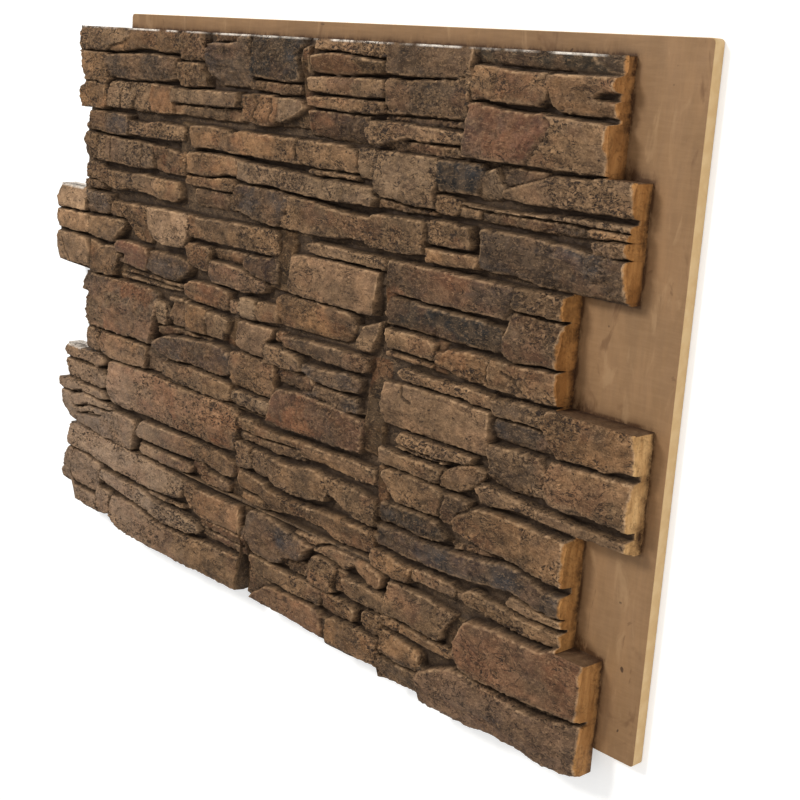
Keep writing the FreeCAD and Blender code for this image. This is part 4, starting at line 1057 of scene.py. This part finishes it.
class Nodes:
    """A material's node tree, made by short calls."""

    def __init__(self, name):
        self.material = bpy.data.materials.new(name)
        self.material.use_nodes = True
        self.tree = self.material.node_tree
        self.shader = self.tree.nodes["Principled BSDF"]
        self.place = self.tree.nodes.new("ShaderNodeTexCoord").outputs["Object"]

    def link(self, value, socket):
        if isinstance(value, bpy.types.NodeSocket):
            self.tree.links.new(value, socket)
        else:
            socket.default_value = value

    def node(self, kind, values):
        """A node with a value or a link for each named or numbered input."""
        node = self.tree.nodes.new(kind)
        for name, value in values.items():
            self.link(value, node.inputs[name])
        return node

    def attribute(self, name):
        node = self.tree.nodes.new("ShaderNodeAttribute")
        node.attribute_name = name
        return node

    def marks(self):
        """The four marks of each vertex."""
        marks = self.attribute("marks")
        parts = self.node("ShaderNodeSeparateColor", {"Color": marks.outputs["Color"]})
        return [parts.outputs[name] for name in ("Red", "Green", "Blue")] + [marks.outputs["Alpha"]]

    def noise(self, scale, detail=2.0, rough=0.5, stretch=None, distortion=0.0):
        """Noise over the object, drawn out where a stretch is below one."""
        place = self.place
        if stretch:
            place = self.node("ShaderNodeMapping", {"Vector": place, "Scale": stretch}).outputs["Vector"]
        values = {"Scale": scale, "Detail": detail, "Roughness": rough, "Distortion": distortion}
        return self.node("ShaderNodeTexNoise", {"Vector": place, **values}).outputs["Fac"]

    def range(self, value, low, high, out_low=0.0, out_high=1.0):
        values = {"Value": value, "From Min": low, "From Max": high, "To Min": out_low, "To Max": out_high}
        node = self.node("ShaderNodeMapRange", values)
        node.interpolation_type = "SMOOTHSTEP"
        return node.outputs["Result"]

    def math(self, kind, a, b=0.0):
        node = self.node("ShaderNodeMath", {0: a, 1: b})
        node.operation = kind
        return node.outputs[0]

    def mix(self, share, a, b, kind="MIX"):
        node = self.tree.nodes.new("ShaderNodeMix")
        node.data_type = "RGBA"
        node.blend_type = kind
        node.clamp_result = False
        self.link(share, node.inputs["Factor"])
        self.link(a, node.inputs["A"])
        self.link(b, node.inputs["B"])
        return node.outputs["Result"]

    def coat(self, base, share, strength, colour):
        """base under a coat of colour: share is where it lies, strength how dense it is."""
        return self.mix(self.math("MULTIPLY", share, strength), base, colour)

    def shade(self, base, share, strength, factors):
        """base darkened by a factor for each channel, where share and strength say."""
        return self.mix(self.math("MULTIPLY", share, strength), base, (*factors, 1.0), "MULTIPLY")

    def band(self, value, middle, inner, outer):
        """1 where value is within inner of the middle, 0 past outer."""
        away = self.math("ABSOLUTE", self.math("SUBTRACT", value, middle))
        return self.range(away, inner, outer, 1.0, 0.0)

    def bump(self, height, distance, strength, normal=None):
        values = {"Height": height, "Distance": distance, "Strength": strength}
        if normal:
            values["Normal"] = normal
        return self.node("ShaderNodeBump", values).outputs["Normal"]

    def finish(self, base, roughness, specular, normal):
        """Joins the colour, roughness and bumps to the shader."""
        self.link(base, self.shader.inputs["Base Color"])
        self.link(roughness, self.shader.inputs["Roughness"])
        self.link(specular, self.shader.inputs["Specular IOR Level"])
        self.link(normal, self.shader.inputs["Normal"])
        return self.material


def full(rgb):
    """An sRGB triple as a linear colour with alpha."""
    return (*tint(rgb), 1.0)


def stone_material():
    """Painted moulded stone: speckled, with a dark wash in its hollows that also paints their shade, painted
    highlights beside its hair cracks, and dry-brushed high points.
    """
    n = Nodes("painted_stone")
    wash_and_shade, ridge, cut, speck = n.marks()
    plain = n.attribute("tint").outputs["Color"]
    lit = n.mix(0.3, plain, full(BRUSHED))
    more_specks = n.math("MULTIPLY", speck, 0.09)
    lines = n.range(n.noise(150.0, 4.0, 0.7, (0.22, 1.0, 1.0), 0.8), 0.53, 0.62)
    base = n.shade(plain, lines, 0.6, (0.5, 0.46, 0.44))
    mottle = n.range(n.noise(70.0, 5.0, 0.7, distortion=0.6), 0.38, 0.64)
    base = n.shade(base, mottle, 0.5, (0.56, 0.52, 0.48))
    bloom = n.range(n.noise(38.0, 5.0, 0.68, distortion=0.5), 0.4, 0.62)
    base = n.coat(base, bloom, 0.3, lit)
    fleck_grain = n.noise(170.0, 5.0, 0.74, distortion=0.4)
    flecks = n.range(n.math("ADD", fleck_grain, more_specks), 0.625, 0.665)
    base = n.coat(base, flecks, 0.85, lit)
    pit_grain = n.noise(170.0, 3.0, 0.62, (0.62, 1.0, 1.0), 1.4)
    pits = n.range(n.math("ADD", pit_grain, more_specks), 0.675, 0.705)
    base = n.coat(base, pits, 0.95, full(PIT))
    wander = n.noise(46.0, 5.0, 0.66, (0.6, 1.0, 1.0), 0.7)
    rough_zone = n.range(n.noise(15.0, 3.0), 0.4, 0.6)
    crack = n.math("MULTIPLY", n.band(wander, 0.5, 0.006, 0.016), rough_zone)
    base = n.coat(base, crack, 0.9, full(HAIR_CRACK))
    # Painted highlight: a pale line beside each hair crack, for an embossed look.
    highlight_line = n.math("MULTIPLY", n.band(wander, 0.526, 0.0, 0.014), rough_zone)
    base = n.coat(base, highlight_line, 0.6, lit)
    grain = n.range(n.noise(420.0, 3.0, 0.7), 0.36, 0.64)
    base = n.shade(base, grain, 0.6, (0.42, 0.39, 0.37))
    glints = n.range(n.noise(260.0, 3.0, 0.7, (0.45, 1.0, 1.0), 1.2), 0.56, 0.62)
    base = n.coat(base, glints, 0.55, lit)
    brushed = n.math("MULTIPLY", ridge, n.range(n.noise(60.0, 3.0, 0.6), 0.4, 0.62))
    base = n.coat(base, brushed, 0.8, lit)
    # The dark wash with painted shade: in the hollows, and on the sides towards their foot.
    base = n.coat(base, wash_and_shade, 0.8, full(WASH_AND_SHADE))

    streaks = n.range(n.noise(90.0, 4.0, 0.65, (1.0, 0.12, 1.0), 0.3), 0.36, 0.62)
    sawn = n.mix(streaks, n.mix(1.0, plain, (0.76, 0.70, 0.64, 1.0), "MULTIPLY"), plain)
    # Patches of grime on the sawn ends.
    darkening = n.range(n.noise(26.0, 5.0, 0.7, (1.0, 0.5, 1.0)), 0.46, 0.62)
    sawn = n.coat(sawn, darkening, 0.65, n.mix(1.0, plain, (0.42, 0.36, 0.3, 1.0), "MULTIPLY"))
    # Stain and painted shade: the sawn ends darker in patches towards their foot.
    stain_and_shade = n.math("MULTIPLY", wash_and_shade, n.range(n.noise(70.0, 4.0, 0.7), 0.3, 0.62, 0.35, 1.1))
    sawn = n.mix(stain_and_shade, sawn, full(STAIN_AND_SHADE))

    roughness = n.range(n.noise(90.0, 2.0), 0.3, 0.7, 0.62, 0.82)
    dents = n.math("SUBTRACT", n.math("MULTIPLY", flecks, 0.4), n.math("MAXIMUM", pits, crack))
    normal = n.bump(n.noise(300.0, 4.0, 0.65), 0.0012, 0.7, n.bump(dents, 0.0016, 0.8))
    return n.finish(n.mix(cut, base, sawn), roughness, 0.2, normal)


# Coats on the bare sheet, the lowest first: scale, detail, roughness, stretch and distortion of the noise,
# where it begins and is full, how dense the coat is, its colour.
SHEET_COATS = [
    (30.0, 4.0, 0.6, (4.0, 0.6, 1.0), 0.0, 0.35, 0.65, 0.35, (124, 95, 68)),
    (70.0, 3.0, 0.7, (0.35, 2.6, 1.0), 0.3, 0.4, 0.65, 0.13, (166, 132, 96)),
    (13.0, 4.0, 0.62, (1.6, 0.8, 1.0), 0.8, 0.6, 0.72, 0.7, (108, 77, 50)),
    (24.0, 3.0, 0.6, (1.8, 0.7, 1.0), 1.5, 0.67, 0.72, 0.5, (104, 74, 49)),
    (16.0, 4.0, 0.6, (2.2, 0.6, 1.0), 1.0, 0.56, 0.7, 0.5, (164, 131, 95)),
    (60.0, 1.0, 0.4, None, 0.0, 0.77, 0.80, 1.0, (80, 58, 40)),
]


def sheet_material():
    """The bare sheet: smooth tan with smears, a brown stain with painted shade along the stones' foot, and a
    pale sawn edge.
    """
    n = Nodes("bare_sheet")
    foot, _, edge, strip = n.marks()
    upright = n.noise(9.0, 4.0, 0.6, (2.6, 0.7, 1.0), 0.3)
    level = n.noise(26.0, 4.0, 0.65, (0.22, 2.2, 1.0), 0.4)
    smear = n.math("ADD", upright, n.math("MULTIPLY", strip, n.math("SUBTRACT", level, upright)))
    base = n.mix(n.range(smear, 0.3, 0.7), *map(full, SHEET_TONES))
    for *grain, low, high, strength, colour in SHEET_COATS:
        base = n.coat(base, n.range(n.noise(*grain), low, high), strength, full(colour))
    ragged = n.range(n.noise(38.0, 5.0, 0.72, (1.6, 0.8, 1.0)), 0.34, 0.62, 0.3, 1.3)
    # Brown stain with painted shade along the stones' foot.
    base = n.coat(base, foot, ragged, full(FOOT_STAIN_AND_SHADE))
    side = n.mix(n.range(n.noise(60.0, 3.0), 0.35, 0.65), *map(full, SHEET_EDGE))
    roughness = n.range(n.noise(30.0, 2.0), 0.3, 0.7, 0.5, 0.68)
    return n.finish(n.mix(edge, base, side), roughness, 0.3, n.bump(n.noise(160.0, 3.0, 0.6), 0.0004, 0.4))


def add_camera():
    """The photograph's view: its axes and its place, in mm of the sheet."""
    right = Vector((0.67760993, 0.06425258, -0.7326093))
    down = Vector((0.2172967, -0.96919056, 0.11598189))
    ahead = Vector((-0.70258588, -0.23778406, -0.67069503))
    place = Vector((2177.16 + ORIGIN_X, 868.97 + ORIGIN_Y, 1370.94 + SHEET_THICKNESS)) * MM
    camera = bpy.data.cameras.new("camera")
    camera.sensor_width = 36.0
    camera.lens = 62.76
    camera.clip_start = 0.05
    camera.clip_end = 60.0
    item = bpy.data.objects.new("camera", camera)
    turn = Matrix((right, -down, -ahead)).transposed().to_4x4()
    item.matrix_world = Matrix.Translation(place) @ turn
    bpy.context.scene.collection.objects.link(item)
    bpy.context.scene.camera = item


def add_lamp(name, place, aim, size, power, colour):
    """A round soft lamp that looks at a point."""
    lamp = bpy.data.lights.new(name, "AREA")
    lamp.shape = "DISK"
    lamp.size = size
    lamp.energy = power
    lamp.color = colour
    item = bpy.data.objects.new(name, lamp)
    item.location = place
    item.rotation_mode = "QUATERNION"
    item.rotation_quaternion = (Vector(aim) - Vector(place)).to_track_quat("-Z", "Y")
    bpy.context.scene.collection.objects.link(item)


def add_floor():
    """A plain white floor just below the object, which glows a little where it is seen."""
    h = FLOOR_HALF
    mesh = bpy.data.meshes.new("floor")
    mesh.from_pydata([(-h, -h, 0), (h, -h, 0), (h, h, 0), (-h, h, 0)], [], [(0, 1, 2, 3)])
    floor = bpy.data.objects.new("floor", mesh)
    floor.location.z = -0.0005
    bpy.context.scene.collection.objects.link(floor)
    n = Nodes("floor_white")
    n.shader.inputs["Base Color"].default_value = (0.9, 0.9, 0.9, 1.0)
    n.shader.inputs["Roughness"].default_value = 0.9
    n.shader.inputs["Emission Color"].default_value = (1.0, 1.0, 1.0, 1.0)
    rays = n.tree.nodes.new("ShaderNodeLightPath")
    seen = n.math("MAXIMUM", rays.outputs["Is Camera Ray"], rays.outputs["Is Glossy Ray"])
    n.link(n.math("MULTIPLY", seen, FLOOR_GLOW), n.shader.inputs["Emission Strength"])
    mesh.materials.append(n.material)


def add_sky():
    """An even sky, brighter where the camera sees it than where it lights."""
    world = bpy.data.worlds.new("world")
    world.use_nodes = True
    tree = world.node_tree
    background = tree.nodes["Background"]
    background.inputs["Color"].default_value = (1.0, 1.0, 1.0, 1.0)
    rays = tree.nodes.new("ShaderNodeLightPath")
    seen = tree.nodes.new("ShaderNodeMapRange")
    seen.inputs["To Min"].default_value = SKY
    seen.inputs["To Max"].default_value = SKY_SEEN
    tree.links.new(rays.outputs["Is Camera Ray"], seen.inputs["Value"])
    tree.links.new(seen.outputs["Result"], background.inputs["Strength"])
    bpy.context.scene.world = world


made = [build_sheet(sheet_material())]
stone_paint = stone_material()
for number in range(len(LINES)):
    made.append(build_course(number, stone_paint))
for item in made:
    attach(item, "root")
    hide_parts(NODE)
add_camera()
add_floor()
add_sky()
for name, values in LAMPS.items():
    add_lamp(name, *values)
bpy.context.scene.view_settings.view_transform = "Standard"
